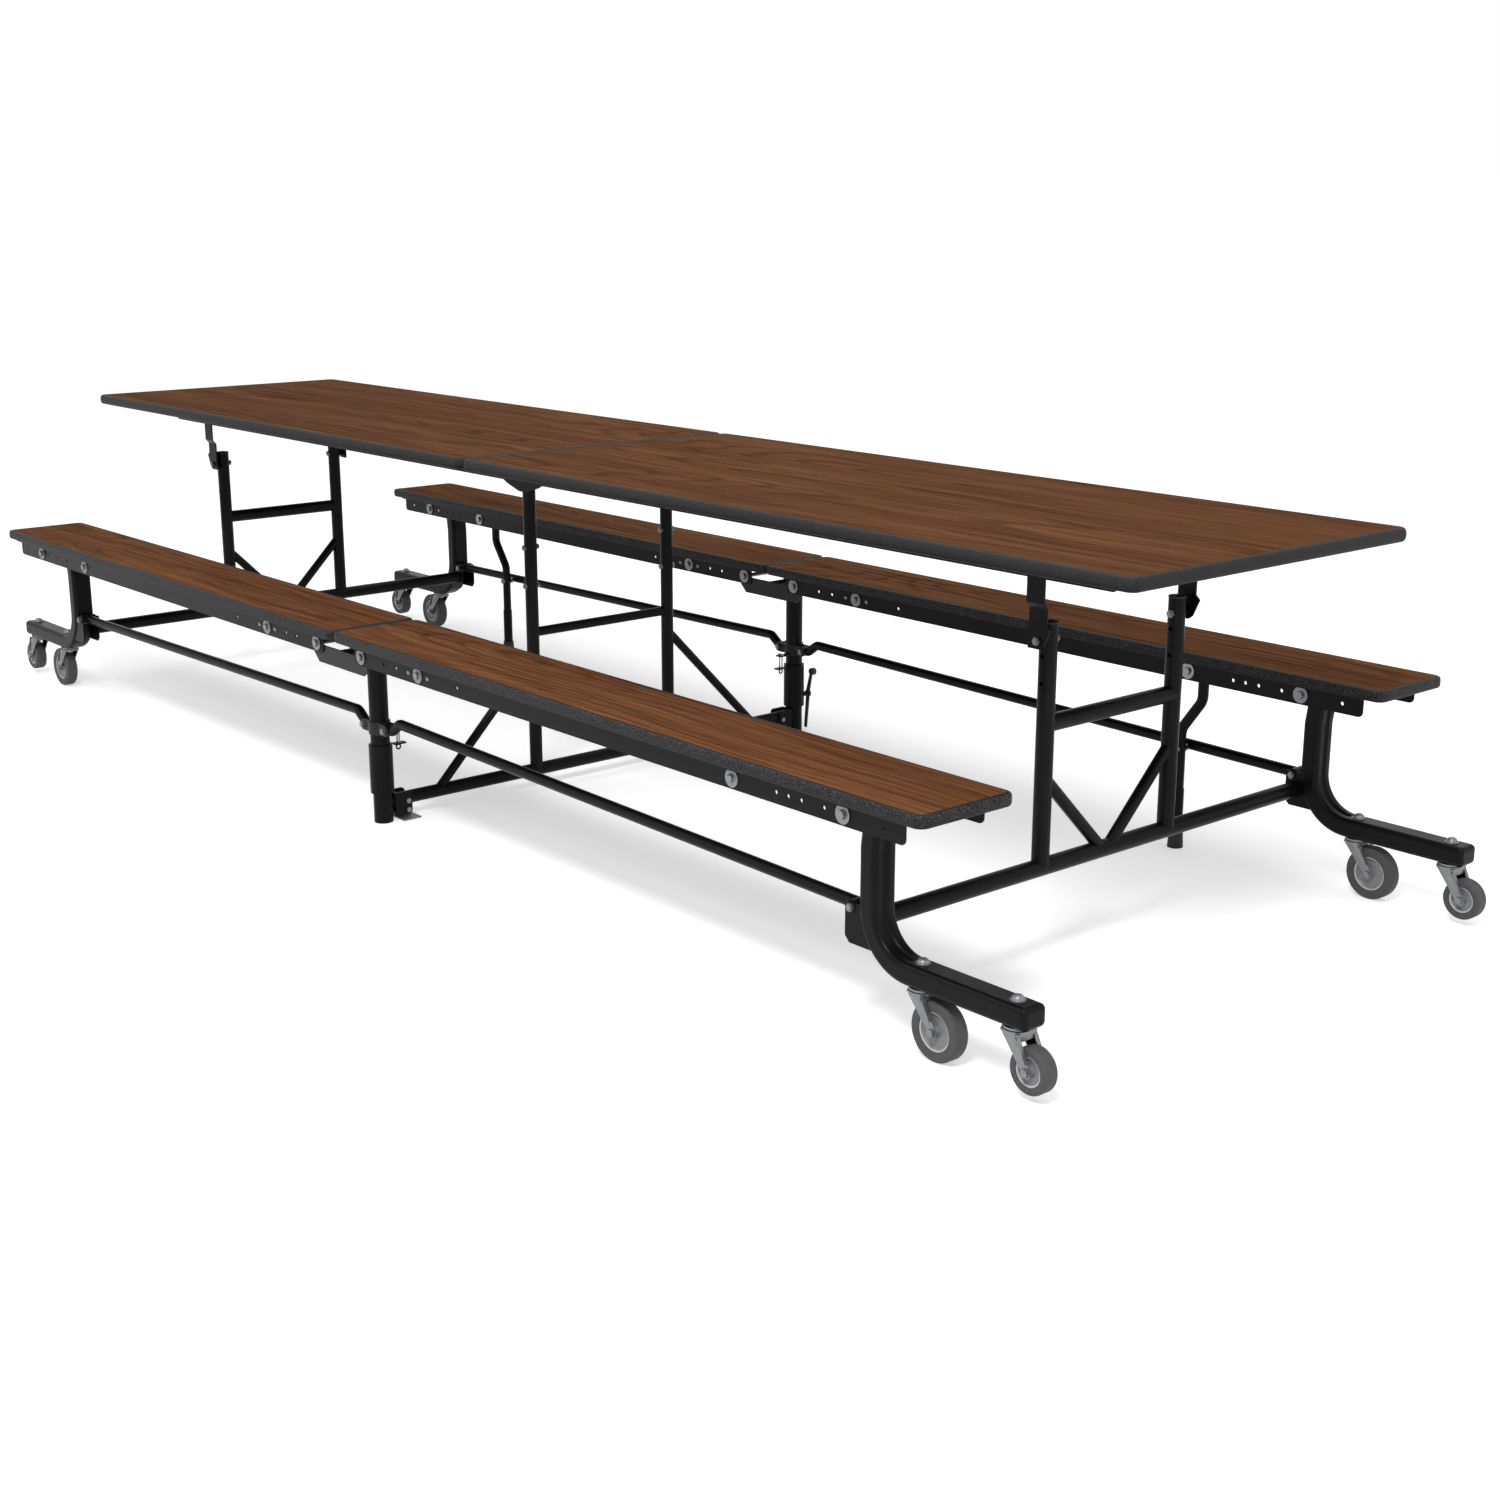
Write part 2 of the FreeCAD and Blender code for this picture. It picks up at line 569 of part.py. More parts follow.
def fork(stem, trail, az, wr):
    """Stamped swivel fork: raceway, crown, tapering cheeks with a turned front lip, and the axle bolt."""
    sx, ax = END_X + stem, END_X + stem + trail
    top = FOOT_LOW - FACE_GAP
    low = max(az + wr + 2 * FORK_T / 3, top - RACE_DEEP)
    y0 = WHEEL_W / 2.0 + HUB_PROUD + FACE_GAP
    y1 = y0 + FORK_T
    up = V(0, 0, 1)
    neck_r, neck_t = RACE_NECK
    upper_t = (top - low - FORK_T) / 2.0
    races = [Part.makeCylinder(RACE_R, upper_t, V(sx, 0, top - upper_t), up),
             Part.makeCylinder(neck_r, neck_t, V(sx, 0, top - upper_t - neck_t), up),
             Part.makeCylinder(RACE_R + 1.5, top - upper_t - neck_t - low, V(sx, 0, low), up)]
    crown = box(sx - FORK_HALF, sx + FORK_HALF, -y1, y1, low, low + FORK_T)
    back, front = sx - FORK_HALF, sx + FORK_HALF
    crown_z = low + FORK_T
    taper = [(back, crown_z), (front, crown_z), (ax + FORK_TIP, az), (ax - FORK_TIP, az)]
    cheek = fuse([poly_xz(taper, y0, y1), pin_y(ax, az, y0, y1, FORK_TIP)])
    lip_low = az + wr * 0.36
    share = (crown_z - lip_low) / (crown_z - az)
    edge = front + (ax + FORK_TIP - front) * share
    lip = poly_xz([(front - FORK_T, crown_z), (front, crown_z), (edge, lip_low), (edge - FORK_T, lip_low)],
                  y1, y1 + FORK_LIP)
    body = fuse(races + [crown, cheek, flip_y(cheek), lip, flip_y(lip)])
    body = body.cut(Part.makeCylinder(STEM_R + FIT, 2 * RACE_DEEP, V(sx, 0, low - RACE_DEEP), up))
    nut_room = KING_NUT[1] + 1.5
    body = body.cut(Part.makeCylinder(KING_NUT[0] + 2 * FACE_GAP, nut_room,
                                      V(sx, 0, FOOT_LOW - KING_DROP - 1), up))
    end = y1 + HEAD_T
    axle = fuse([pin_y(ax, az, 1 - end, end - 1, AXLE_R), hex_y(ax, az, -end, -y1, AXLE_HEX_R),
                 hex_y(ax, az, y1, end, AXLE_HEX_R)])
    body = body.cut(pin_y(ax, az, -end, end, AXLE_R))
    return group([body, axle])


def wheel(stem, trail, az, wr):
    """Turned wheel: a proud hub, a dished web and a tyre with rounded shoulders."""
    ax = END_X + stem + trail
    w = WHEEL_W / 2.0
    hub, bead = wr * HUB_SHARE, 2.0
    pts = [(AXLE_R + FIT, w + HUB_PROUD), (HUB_R, w + HUB_PROUD), (HUB_R + 1.0, w - HUB_DISH),
           (hub - 3 * bead, w - HUB_DISH), (hub - bead, w - bead), (hub, w - bead), (hub + 1.0, w),
           (wr - TYRE_ROUND, w)]
    turn = TYRE_ROUND * math.sqrt(0.5)
    mid = (wr - TYRE_ROUND + turn, w - TYRE_ROUND + turn)
    end = (wr, w - TYRE_ROUND)

    def at(point, side):
        return V(ax, side * point[1], az + point[0])

    edges = []
    for side in (1, -1):
        for p, q in zip(pts, pts[1:]):
            edges.append(Part.makeLine(at(p, side), at(q, side)))
        edges.append(Part.Arc(at(pts[-1], side), at(mid, side), at(end, side)).toShape())
    edges.append(Part.makeLine(at(end, 1), at(end, -1)))
    edges.append(Part.makeLine(at(pts[0], 1), at(pts[0], -1)))
    outline = Part.Wire(Part.__sortEdges__(edges))
    return Part.Face(outline).revolve(V(ax, 0, az), V(0, 1, 0), 360)


def casters(side, sx):
    spot = V(0, LEG_Y, 0)
    for row, sy in (("F", -1), ("B", 1)):
        for name, sizes in CASTERS.items():
            tag = row + side + "_" + name
            save("fork_" + tag, place(fork(*sizes).translated(spot), sx, sy))
            save("wheel_" + tag, place(wheel(*sizes).translated(spot), sx, sy))


# ---------------------------------------------------------------- centre frame

def gusset():
    """Fan plate on the post top with a hinge lobe for each table half."""
    px, pz = TABLE_PIVOT
    lobe = GUSSET_LOBE - 0.2
    pts = [(px, pz + lobe), (px + lobe, pz), (px + lobe, pz - 19), (px + 6, CPOST_TOP), (13, CPOST_TOP - 14)]
    pts += [(-x, z) for x, z in reversed(pts)]
    plates = [poly_xz(pts, GUSSET_Y, GUSSET_FACE)]
    for s in (-1, 1):
        plates.append(pin_y(s * px, pz, GUSSET_Y, GUSSET_FACE, GUSSET_LOBE))
    plate = fuse(plates)
    for s in (-1, 1):
        plate = plate.cut(pin_y(s * px, pz, CPOST_Y, GUSSET_FACE + GUSSET_T, HOLE_R))
    return plate


def foot_bracket():
    """Round-topped plate pair and end cap at the bar's end, which the glide screws clamp."""
    z0, z1 = BRACKET_Z
    near, far = FEET_Y[0], LEG_Y - CLEG_R - 0.5
    side = box(BAR_R - 1, BRACKET_X, near, far, z0, z1)
    crest = [e for e in side.Edges
             if abs(e.Vertexes[0].Y - near) + abs(e.Vertexes[-1].Y - near) < 1e-6
             and abs(e.Vertexes[0].Z - e.Vertexes[-1].Z) < 1e-6]
    side = side.makeFillet(BRACKET_ROUND, crest)
    end = box(-BAR_R, BAR_R, far - 5.5, far + 1.5, z0 + 20, z1)
    return [side, flip_x(side), end]


def centre_frame():
    """Floor bar, two posts with gussets, a rung and two braces."""
    reach = LEG_Y - CLEG_R + 6.5
    parts = [bar((0, -reach, BAR_Z), (0, reach, BAR_Z), BAR_R),
             bar((0, -CPOST_Y, CRUNG_Z), (0, CPOST_Y, CRUNG_Z), CRUNG_R)]
    brace_in, brace_out = CPOST_Y + 4.0, CPOST_Y + CDIAG_OUT
    for s in (-1, 1):
        parts.append(bar((0, s * CPOST_Y, BAR_Z), (0, s * CPOST_Y, CPOST_TOP), CPOST_R))
        parts.append(bar((0, s * brace_in, CDIAG_TOP), (0, s * brace_out, BAR_Z), CDIAG_R))
        parts += [place(piece, 1, s) for piece in [gusset()] + foot_bracket()]
    body = fuse(parts)
    for s in (-1, 1):
        body = body.cut(bar((0, s * LEG_Y, -1), (0, s * LEG_Y, CLEG_TOP), CLEG_R + FIT))
        body = body.cut(bar((0, s * CPOST_Y, BAR_Z + BAR_R + WALL),
                            (0, s * CPOST_Y, CPOST_TOP - CPOST_CAP), CPOST_R - WALL))
        for z in CPOST_BOLTS:
            body = body.cut(place(pin_y(0, z, CPOST_Y - 2 * CPOST_R, CPOST_Y + 2 * CPOST_R,
                                        CPOST_BOLT_R + FIT), 1, s))
        for z in FOOT_SCREW_Z:
            body = body.cut(bar((-2 * BRACKET_X, s * FOOT_SCREW_Y, z), (2 * BRACKET_X, s * FOOT_SCREW_Y, z),
                                FOOT_SCREW_R + FIT))
    inside = FEET_Y[0]
    return body.cut(bar((0, -inside, BAR_Z), (0, inside, BAR_Z), BAR_R - WALL))


def centre_legs():
    leg = bar((0, LEG_Y, 0), (0, LEG_Y, CLEG_TOP), CLEG_R)
    leg = leg.cut(bar((0, LEG_Y, -1), (0, LEG_Y, CLEG_TOP - CLEG_CAP), CLEG_R - CLEG_WALL))
    return group([leg, flip_y(leg)])


def leg_sleeves():
    """Sleeve on each leg; the rear one has the lock lever's stud."""
    z0, z1 = SLEEVE_Z
    bore = bar((0, LEG_Y, z0 - 1), (0, LEG_Y, z1 + 1), CLEG_R + FIT)
    ring = bar((0, LEG_Y, z0), (0, LEG_Y, z1), SLEEVE_R)
    root = LEG_Y + SLEEVE_R / 2.0
    stud = [pin_y(LEVER_X, LEVER_Z, root, LEVER_Y - FACE_GAP, LEVER_PIN_R + 2),
            pin_y(LEVER_X, LEVER_Z, root, LEVER_Y + LEVER_T + 3, LEVER_PIN_R)]
    rear = fuse([ring] + stud).cut(bore)
    return group([rear, flip_y(ring.cut(bore))])


def bench_hinges():
    """Two plates per leg with a spreader on the leg top; the seat rails hinge on them."""
    px, pz = BENCH_PIVOT
    lobe = HINGE_LOBE
    low = CLEG_TOP - 11.0
    pts = [(-px - lobe, pz), (-px - lobe, pz - 22), (-px + 2, low), (px + 2, low),
           (px + lobe, pz - 30), (px + lobe, pz), (px - 30, pz - 2), (-px + 30, pz - 2)]
    plates = []
    for s in (-1, 1):
        a, b = sorted((s * HINGE_FACE, s * (HINGE_FACE - HINGE_T)))
        plates.append(poly_xz(pts, a, b))
        for f in (-1, 1):
            plates.append(pin_y(f * px, pz, a, b, lobe))
    wide = HINGE_FACE - HINGE_T / 2.0
    plates.append(box(-SPREADER_HALF, SPREADER_HALF, -wide, wide, CLEG_TOP, CLEG_TOP + SPREADER_DEEP))
    body = fuse(plates)
    for f in (-1, 1):
        body = body.cut(pin_y(f * px, pz, -2 * HINGE_FACE, 2 * HINGE_FACE, HOLE_R))
    body = body.translated(V(0, BENCH_Y, 0))
    return group([body, flip_y(body)])


def clamp_half(s):
    """One strap half round the leg, with ears for the rod ends; the inner one has the pin's tab."""
    px, pz = ROD_PIVOT
    z0, z1 = pz - CLAMP_HALF, pz + CLAMP_HALF
    a, b = sorted((s * EAR_IN, s * EAR_OUT))
    split = sorted((s * FIT * 4, s * 2 * CLAMP_R))
    parts = [bar((0, 0, z0), (0, 0, z1), CLAMP_R).common(box(-CLAMP_R, CLAMP_R, split[0], split[1], z0, z1)),
             box(-px, px, a, b, pz - EAR_HALF, pz + EAR_HALF)]
    for f in (-1, 1):
        parts.append(pin_y(f * px, pz, a, b, EAR_HALF))
    pull = PULL_Y - LEG_Y
    if s < 0:
        parts.append(box(-PULL_TAB_HALF, PULL_TAB_HALF, pull - PULL_TAB_HALF, 2 - CLAMP_R, z0, TAB_TOP))
    body = fuse(parts).cut(bar((0, 0, z0 - 1), (0, 0, z1 + 1), CLEG_R + FIT))
    for f in (-1, 1):
        body = body.cut(pin_y(f * px, pz, -2 * CLAMP_R, 2 * CLAMP_R, HOLE_R))
    for f in (-1, 1):
        body = body.cut(bar((f * PULL_APART, pull, z0 - 1), (f * PULL_APART, pull, z1), PULL_R + FIT))
    return body.translated(V(0, LEG_Y, 0))


def rod_clamps():
    return group([place(clamp_half(s), 1, row) for row in (-1, 1) for s in (-1, 1)])


def glide_screw(z):
    head_r, head_t = FOOT_SCREW_HEAD
    face = BRACKET_X + GLIDE_T
    along = V(1, 0, 0)
    screw = Part.makeCylinder(FOOT_SCREW_R, 2 * face, V(-face - 2, FOOT_SCREW_Y, z), along)
    head = Part.makeCylinder(head_r, head_t, V(BRACKET_X + HEAD_GAP, FOOT_SCREW_Y, z), along)
    nut = Part.makeCylinder(head_r, head_t, V(-face - HEAD_GAP - head_t, FOOT_SCREW_Y, z), along)
    return fuse([screw, head, nut])


def centre_fasteners():
    out = []
    for s in (-1, 1):
        side = [bolt(0, z, CPOST_Y - CPOST_R, CPOST_Y + CPOST_R, CPOST_BOLT_R, HEX_SMALL_R - 1)
                for z in CPOST_BOLTS]
        for f in (-1, 1):
            side += [table_bolt(f * TABLE_PIVOT[0]), bench_bolt(f * BENCH_PIVOT[0]),
                     rod_bolt(f * ROD_PIVOT[0], EAR_OUT)]
        side += [glide_screw(z) for z in FOOT_SCREW_Z]
        out += [place(one, 1, s) for one in side]
    return group(out)


def floor_glides():
    """L-shaped steel glide under each end of the bar, its upright on the bracket's far face."""
    near, far = FEET_Y[0] - GLIDE_WIDE, FEET_Y[1]
    back = -BRACKET_X - GLIDE_T
    up = box(back, -BRACKET_X, near, far, 0, GLIDE_HIGH)
    foot = box(back, GLIDE_LEN, near, far, 0, GLIDE_T)
    body = fuse([up, foot])
    for z in FOOT_SCREW_Z:
        body = body.cut(bar((2 * back, FOOT_SCREW_Y, z), (0, FOOT_SCREW_Y, z), FOOT_SCREW_R + FIT))
    return group([body, flip_y(body)])


def latch_lever():
    """Flat lever that turns on the rear sleeve's stud, with a round knob at its top."""
    x, z = LEVER_X, LEVER_Z
    arm = [(x - 5, z - 8), (x - 11, z - 88), (x - 4, z - 90), (x + 5, z - 8), (x + 6, z + 6),
           (x + 15, z + 50), (x + 8, z + 52), (x - 5, z + 6)]
    knob_r, knob_t = LEVER_KNOB
    body = fuse([poly_xz(arm, LEVER_Y, LEVER_Y + LEVER_T),
                 pin_y(x, z, LEVER_Y, LEVER_Y + LEVER_T + 1, LEVER_BOSS_R),
                 pin_y(x + 13, z + 57, LEVER_Y, LEVER_Y + knob_t, knob_r)])
    return body.cut(pin_y(x, z, LEVER_Y - 1, LEVER_Y + 3 * LEVER_T, LEVER_PIN_R + FIT))


def pull_pin(sy):
    """Pull pin of two wires through the clamp's tab, with a bridge on top, a cross plate and a ring."""
    reach = PULL_APART + 2 * PULL_R
    bridge_z = TAB_TOP + FACE_GAP
    ring_r, wire_r = PULL_RING
    parts = [box(-reach, reach, PULL_Y - 2 * PULL_R, PULL_Y + 2 * PULL_R, bridge_z, bridge_z + 2 * PULL_R),
             box(-reach, reach, PULL_Y - 16, PULL_Y + 12, PULL_LOW, PULL_LOW + 3)]
    for f in (-1, 1):
        x = f * PULL_APART
        parts.append(bar((x, PULL_Y, PULL_LOW), (x, PULL_Y, bridge_z + PULL_R), PULL_R))
    ring = Part.makeTorus(ring_r, wire_r, V(0, PULL_Y, PULL_LOW - ring_r - wire_r + 0.5), V(1, 0, 0))
    return place(fuse(parts + [ring]), 1, sy)


# ---------------------------------------------------------------- rods and drop legs

def lower_rod(with_drop):
    """Round link from the clamp's ears to the end leg's cheeks, cranked up next to the clamp."""
    px, pz = ROD_PIVOT
    kx, kz = ROD_KNEE
    far = end_x(ROD_PIVOT)
    run = tube_path([(px, LEG_Y, pz), (px + 12, LEG_Y, pz), (kx, LEG_Y, kz), (far, LEG_Y, pz)],
                    ROD_R, ROD_BEND)
    near_half, far_half = EAR_IN - FACE_GAP, BRACKET_IN - FACE_GAP
    near = pin_y(px, pz, LEG_Y - near_half, LEG_Y + near_half, ROD_R + 0.5)
    end = pin_y(far, pz, LEG_Y - far_half, LEG_Y + far_half, ROD_R + 1.0)
    body = fuse([run, near, end])
    holes = [px, far]
    if with_drop:
        holes.append(far - DROP_BACK)
    for x in holes:
        body = body.cut(pin_y(x, pz, LEG_Y - LEG_W, LEG_Y + LEG_W, HOLE_R))
    return body


def drop_leg():
    """Cranked prop tube with the bolts that hang it on the seat rails and tie it to the rod."""
    bx, bz = end_x(BENCH_PIVOT) - DROP_BACK, BENCH_PIVOT[1]
    rx, rz = end_x(ROD_PIVOT) - DROP_BACK, ROD_PIVOT[1]
    high, low = DROP_KNEES
    route = [(bx, DROP_Y, bz + DROP_R), (bx, DROP_Y, high), (rx, DROP_Y, low), (rx, DROP_Y, DROP_LOW)]
    tube = tube_path(route, DROP_R, DROP_BEND)
    tube = fuse([tube, bar((rx, DROP_Y, DROP_LOW), (rx, DROP_Y, DROP_SLEEVE_TOP), DROP_SLEEVE_R)])
    for x, z in ((bx, bz), (rx, rz)):
        tube = tube.cut(pin_y(x, z, DROP_Y - 2 * DROP_R, DROP_Y + 2 * DROP_R, PIN_R))
    lower = bolt(rx, rz, DROP_Y - DROP_R, LEG_Y + ROD_R, PIN_R, HEX_SMALL_R)
    spacer = pin_y(rx, rz, DROP_Y + DROP_R, LEG_Y - ROD_R - FACE_GAP, HEX_R)
    return group([tube, bench_bolt(bx), fuse([lower, spacer])])


def drop_boot():
    """Rubber boot on the prop's sleeve."""
    rx = end_x(ROD_PIVOT) - DROP_BACK
    foot = Part.makeCone(BOOT_FOOT_R, DROP_SLEEVE_R + BOOT_WALL, BOOT_TOP, V(rx, DROP_Y, 0), V(0, 0, 1))
    return foot.cut(bar((rx, DROP_Y, DROP_LOW), (rx, DROP_Y, BOOT_TOP + 1), DROP_SLEEVE_R + FIT / 2.0))


def main():
    for side, sx in (("L", -1), ("R", 1)):
        table_half(side, sx)
        end_assembly(side, sx)
        casters(side, sx)
        for row, sy in (("F", -1), ("B", 1)):
            bench_half(side, sx, row, sy)
            save("rod_" + row + side, place(lower_rod(row == "B"), sx, sy))
        save("drop_leg_" + side, place(drop_leg(), sx))
        save("drop_boot_" + side, place(drop_boot(), sx))
    save("centre_frame", centre_frame())
    save("centre_legs", centre_legs())
    save("leg_sleeves", leg_sleeves())
    save("bench_hinges", bench_hinges())
    save("rod_clamps", rod_clamps())
    save("centre_fasteners", centre_fasteners())
    save("floor_glides", floor_glides())
    save("latch_lever", latch_lever())
    save("pull_pin_F", pull_pin(-1))
    save("pull_pin_B", pull_pin(1))


main()
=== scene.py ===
import bpy
import bmesh
import json
import math
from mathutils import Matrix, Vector


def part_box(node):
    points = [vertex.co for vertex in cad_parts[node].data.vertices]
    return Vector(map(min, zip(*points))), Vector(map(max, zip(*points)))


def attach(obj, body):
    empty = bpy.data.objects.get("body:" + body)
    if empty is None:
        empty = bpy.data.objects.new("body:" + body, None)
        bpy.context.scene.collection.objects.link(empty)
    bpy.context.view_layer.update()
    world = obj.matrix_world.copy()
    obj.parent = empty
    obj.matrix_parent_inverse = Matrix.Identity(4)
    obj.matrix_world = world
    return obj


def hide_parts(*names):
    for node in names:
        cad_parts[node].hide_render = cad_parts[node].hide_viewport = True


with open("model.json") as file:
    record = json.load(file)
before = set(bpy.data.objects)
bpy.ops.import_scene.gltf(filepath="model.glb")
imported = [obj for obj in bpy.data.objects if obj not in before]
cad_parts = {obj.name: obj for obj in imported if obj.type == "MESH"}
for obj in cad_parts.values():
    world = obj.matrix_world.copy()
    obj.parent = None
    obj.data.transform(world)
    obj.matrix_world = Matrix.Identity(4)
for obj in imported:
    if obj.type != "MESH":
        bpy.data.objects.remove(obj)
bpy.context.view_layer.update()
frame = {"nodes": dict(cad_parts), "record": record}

# Folding cafeteria table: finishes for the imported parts, the forms that take the place of some of them, and
# the small pieces that the CAD leaves out.
# Units are metres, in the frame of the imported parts.  R is +X, L is -X, F is -Y, B is +Y.

SIDES = (("L", -1), ("R", 1))
ROWS = (("F", -1), ("B", 1))
MM = 0.001

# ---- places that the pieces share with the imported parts
# benches and their rails
BENCH_Y = 0.594
RAIL_OFF = 0.086
SEAT_PIVOT_Z = 0.3906
SPACER_BOLTS = (0.309, 1.271)
RIVETS = (0.274, 0.344)
# boards: corner radius in plan, and width of the moulded band
BOARD_ROUND = 0.020
BAND_W = 0.009
# end frames and centre posts (y, top, radius)
END_X = 1.495
POST_Y = 0.171
POST_R = 0.0159
POST_TOP = 0.618
CENTRE_POST = (0.191, 0.690, 0.0143)
CROSS_Z = 0.183
CROSS_END = 0.570
RUNG_Z = 0.440
# straps between the end posts and the table rails
STRAP_BOLT_Z = 0.588
STRAP_T = 0.0035
STRAP_LOW_Y = 0.200
STRAP_UP_Y = 0.2085
STRAP_TOP_Z = 0.735
# feet and casters: per place, the stem's x, the axle's x, the skirt's toe and the front flange's lower edge
LEG_Y = 0.592
FOOT_TOP = 0.151
CROWN_Z = 0.1062
CASTERS = {"in": (1.630, 1.669, 0.0595, 0.0994), "out": (1.829, 1.865, 0.0585, 0.0925)}


# ------------------------------------------------------------------ camera, light and floor

# name, place, target, size and power of each area light
LAMPS = (
    ("key", (3.2, -3.4, 4.6), (0.2, 0.0, 0.2), (1.3, 1.3), 190.0),
    ("overhead", (0.2, 0.8, 4.4), (0.0, 0.0, 0.0), (6.0, 3.0), 70.0),
    ("front_left", (-3.0, -4.6, 1.8), (0.0, -0.3, 0.4), (2.6, 1.2), 15.0),
    ("end_right", (5.2, 0.9, 1.3), (1.2, -0.2, 0.3), (0.8, 2.0), 16.0),
    ("corners", (-2.0, -2.8, 4.2), (0.0, 0.0, 0.3), (1.6, 1.0), 30.0),
)
WHITE = (1.0, 1.0, 1.0, 1.0)
SKY_LIGHT = 0.50
FLOOR_COLOR = (0.86, 0.86, 0.86, 1.0)
# glow of the floor: nearest and farthest distance from the middle, and the strength at each
GLOW = (1.5, 6.0, 0.46, 0.60)


def set_camera():
    """The photograph's viewpoint: focal length in pixels of a 1500-pixel frame."""
    focal_px, frame_px, sensor = 2078.2273, 1500.0, 36.0
    place = Vector((3.7685751, -2.7804875, 1.3291998))
    azimuth, elevation = -0.8625, -0.2666
    forward = Vector((math.sin(azimuth) * math.cos(elevation),
                      math.cos(azimuth) * math.cos(elevation), math.sin(elevation)))
    data = bpy.data.cameras.new("camera")
    data.sensor_fit = "HORIZONTAL"
    data.sensor_width = sensor
    data.lens = sensor * focal_px / frame_px
    data.clip_end = 100.0
    camera = bpy.data.objects.new("camera", data)
    camera.location = place
    camera.rotation_euler = forward.to_track_quat("-Z", "Y").to_euler()
    bpy.context.scene.collection.objects.link(camera)
    bpy.context.scene.camera = camera


def area_light(name, place, target, size, power):
    data = bpy.data.lights.new(name, "AREA")
    data.shape = "RECTANGLE"
    data.size, data.size_y = size
    data.energy = power
    lamp = bpy.data.objects.new(name, data)
    lamp.location = place
    aim = Vector(target) - Vector(place)
    lamp.rotation_euler = aim.to_track_quat("-Z", "Y").to_euler()
    bpy.context.scene.collection.objects.link(lamp)


def seen_rays(tree):
    """1 for the rays in which the eye sees the background: straight, in gloss or through glass."""
    path = tree.nodes.new("ShaderNodeLightPath")
    total = path.outputs["Is Camera Ray"]
    for other in ("Is Glossy Ray", "Is Transmission Ray"):
        larger = tree.nodes.new("ShaderNodeMath")
        larger.operation = "MAXIMUM"
        tree.links.new(total, larger.inputs[0])
        tree.links.new(path.outputs[other], larger.inputs[1])
        total = larger.outputs[0]
    return total


def set_lights():
    """The lamps, and a world that is white to the eye and weaker as a light."""
    for lamp in LAMPS:
        area_light(*lamp)
    world = bpy.data.worlds.new("studio")
    world.use_nodes = True
    tree = world.node_tree
    tree.nodes.clear()
    out = tree.nodes.new("ShaderNodeOutputWorld")
    plain = tree.nodes.new("ShaderNodeBackground")
    white = tree.nodes.new("ShaderNodeBackground")
    mix = tree.nodes.new("ShaderNodeMixShader")
    plain.inputs["Color"].default_value = WHITE
    plain.inputs["Strength"].default_value = SKY_LIGHT
    white.inputs["Color"].default_value = WHITE
    white.inputs["Strength"].default_value = 1.0
    tree.links.new(seen_rays(tree), mix.inputs["Fac"])
    tree.links.new(plain.outputs[0], mix.inputs[1])
    tree.links.new(white.outputs[0], mix.inputs[2])
    tree.links.new(mix.outputs[0], out.inputs["Surface"])
    bpy.context.scene.world = world


def floor_material():
    """Pale floor.  To the eye it glows a little, more with distance, and so meets the white background."""
    material = bpy.data.materials.new("floor")
    material.use_nodes = True
    tree = material.node_tree
    tree.nodes.clear()
    out = tree.nodes.new("ShaderNodeOutputMaterial")
    matte = tree.nodes.new("ShaderNodeBsdfDiffuse")
    matte.inputs["Color"].default_value = FLOOR_COLOR
    glow = tree.nodes.new("ShaderNodeEmission")
    glow.inputs["Color"].default_value = WHITE
    where = tree.nodes.new("ShaderNodeTexCoord")
    away = tree.nodes.new("ShaderNodeVectorMath")
    away.operation = "LENGTH"
    reach = tree.nodes.new("ShaderNodeMapRange")
    near, far, weak, strong = GLOW
    for key, value in (("From Min", near), ("From Max", far), ("To Min", weak), ("To Max", strong)):
        reach.inputs[key].default_value = value
    scale = tree.nodes.new("ShaderNodeMath")
    scale.operation = "MULTIPLY"
    add = tree.nodes.new("ShaderNodeAddShader")
    tree.links.new(where.outputs["Object"], away.inputs[0])
    tree.links.new(away.outputs["Value"], reach.inputs["Value"])
    tree.links.new(reach.outputs["Result"], scale.inputs[1])
    tree.links.new(seen_rays(tree), scale.inputs[0])
    tree.links.new(scale.outputs[0], glow.inputs["Strength"])
    tree.links.new(matte.outputs[0], add.inputs[0])
    tree.links.new(glow.outputs[0], add.inputs[1])
    tree.links.new(add.outputs[0], out.inputs["Surface"])
    return material


def set_floor():
    half = 40.0
    mesh = bpy.data.meshes.new("floor")
    corners = [(-half, -half, 0.0), (half, -half, 0.0), (half, half, 0.0), (-half, half, 0.0)]
    mesh.from_pydata(corners, [], [(0, 1, 2, 3)])
    plane = bpy.data.objects.new("floor", mesh)
    mesh.materials.append(floor_material())
    bpy.context.scene.collection.objects.link(plane)


# ------------------------------------------------------------------ node helpers

def times(color, factor):
    return tuple(c * factor for c in color)


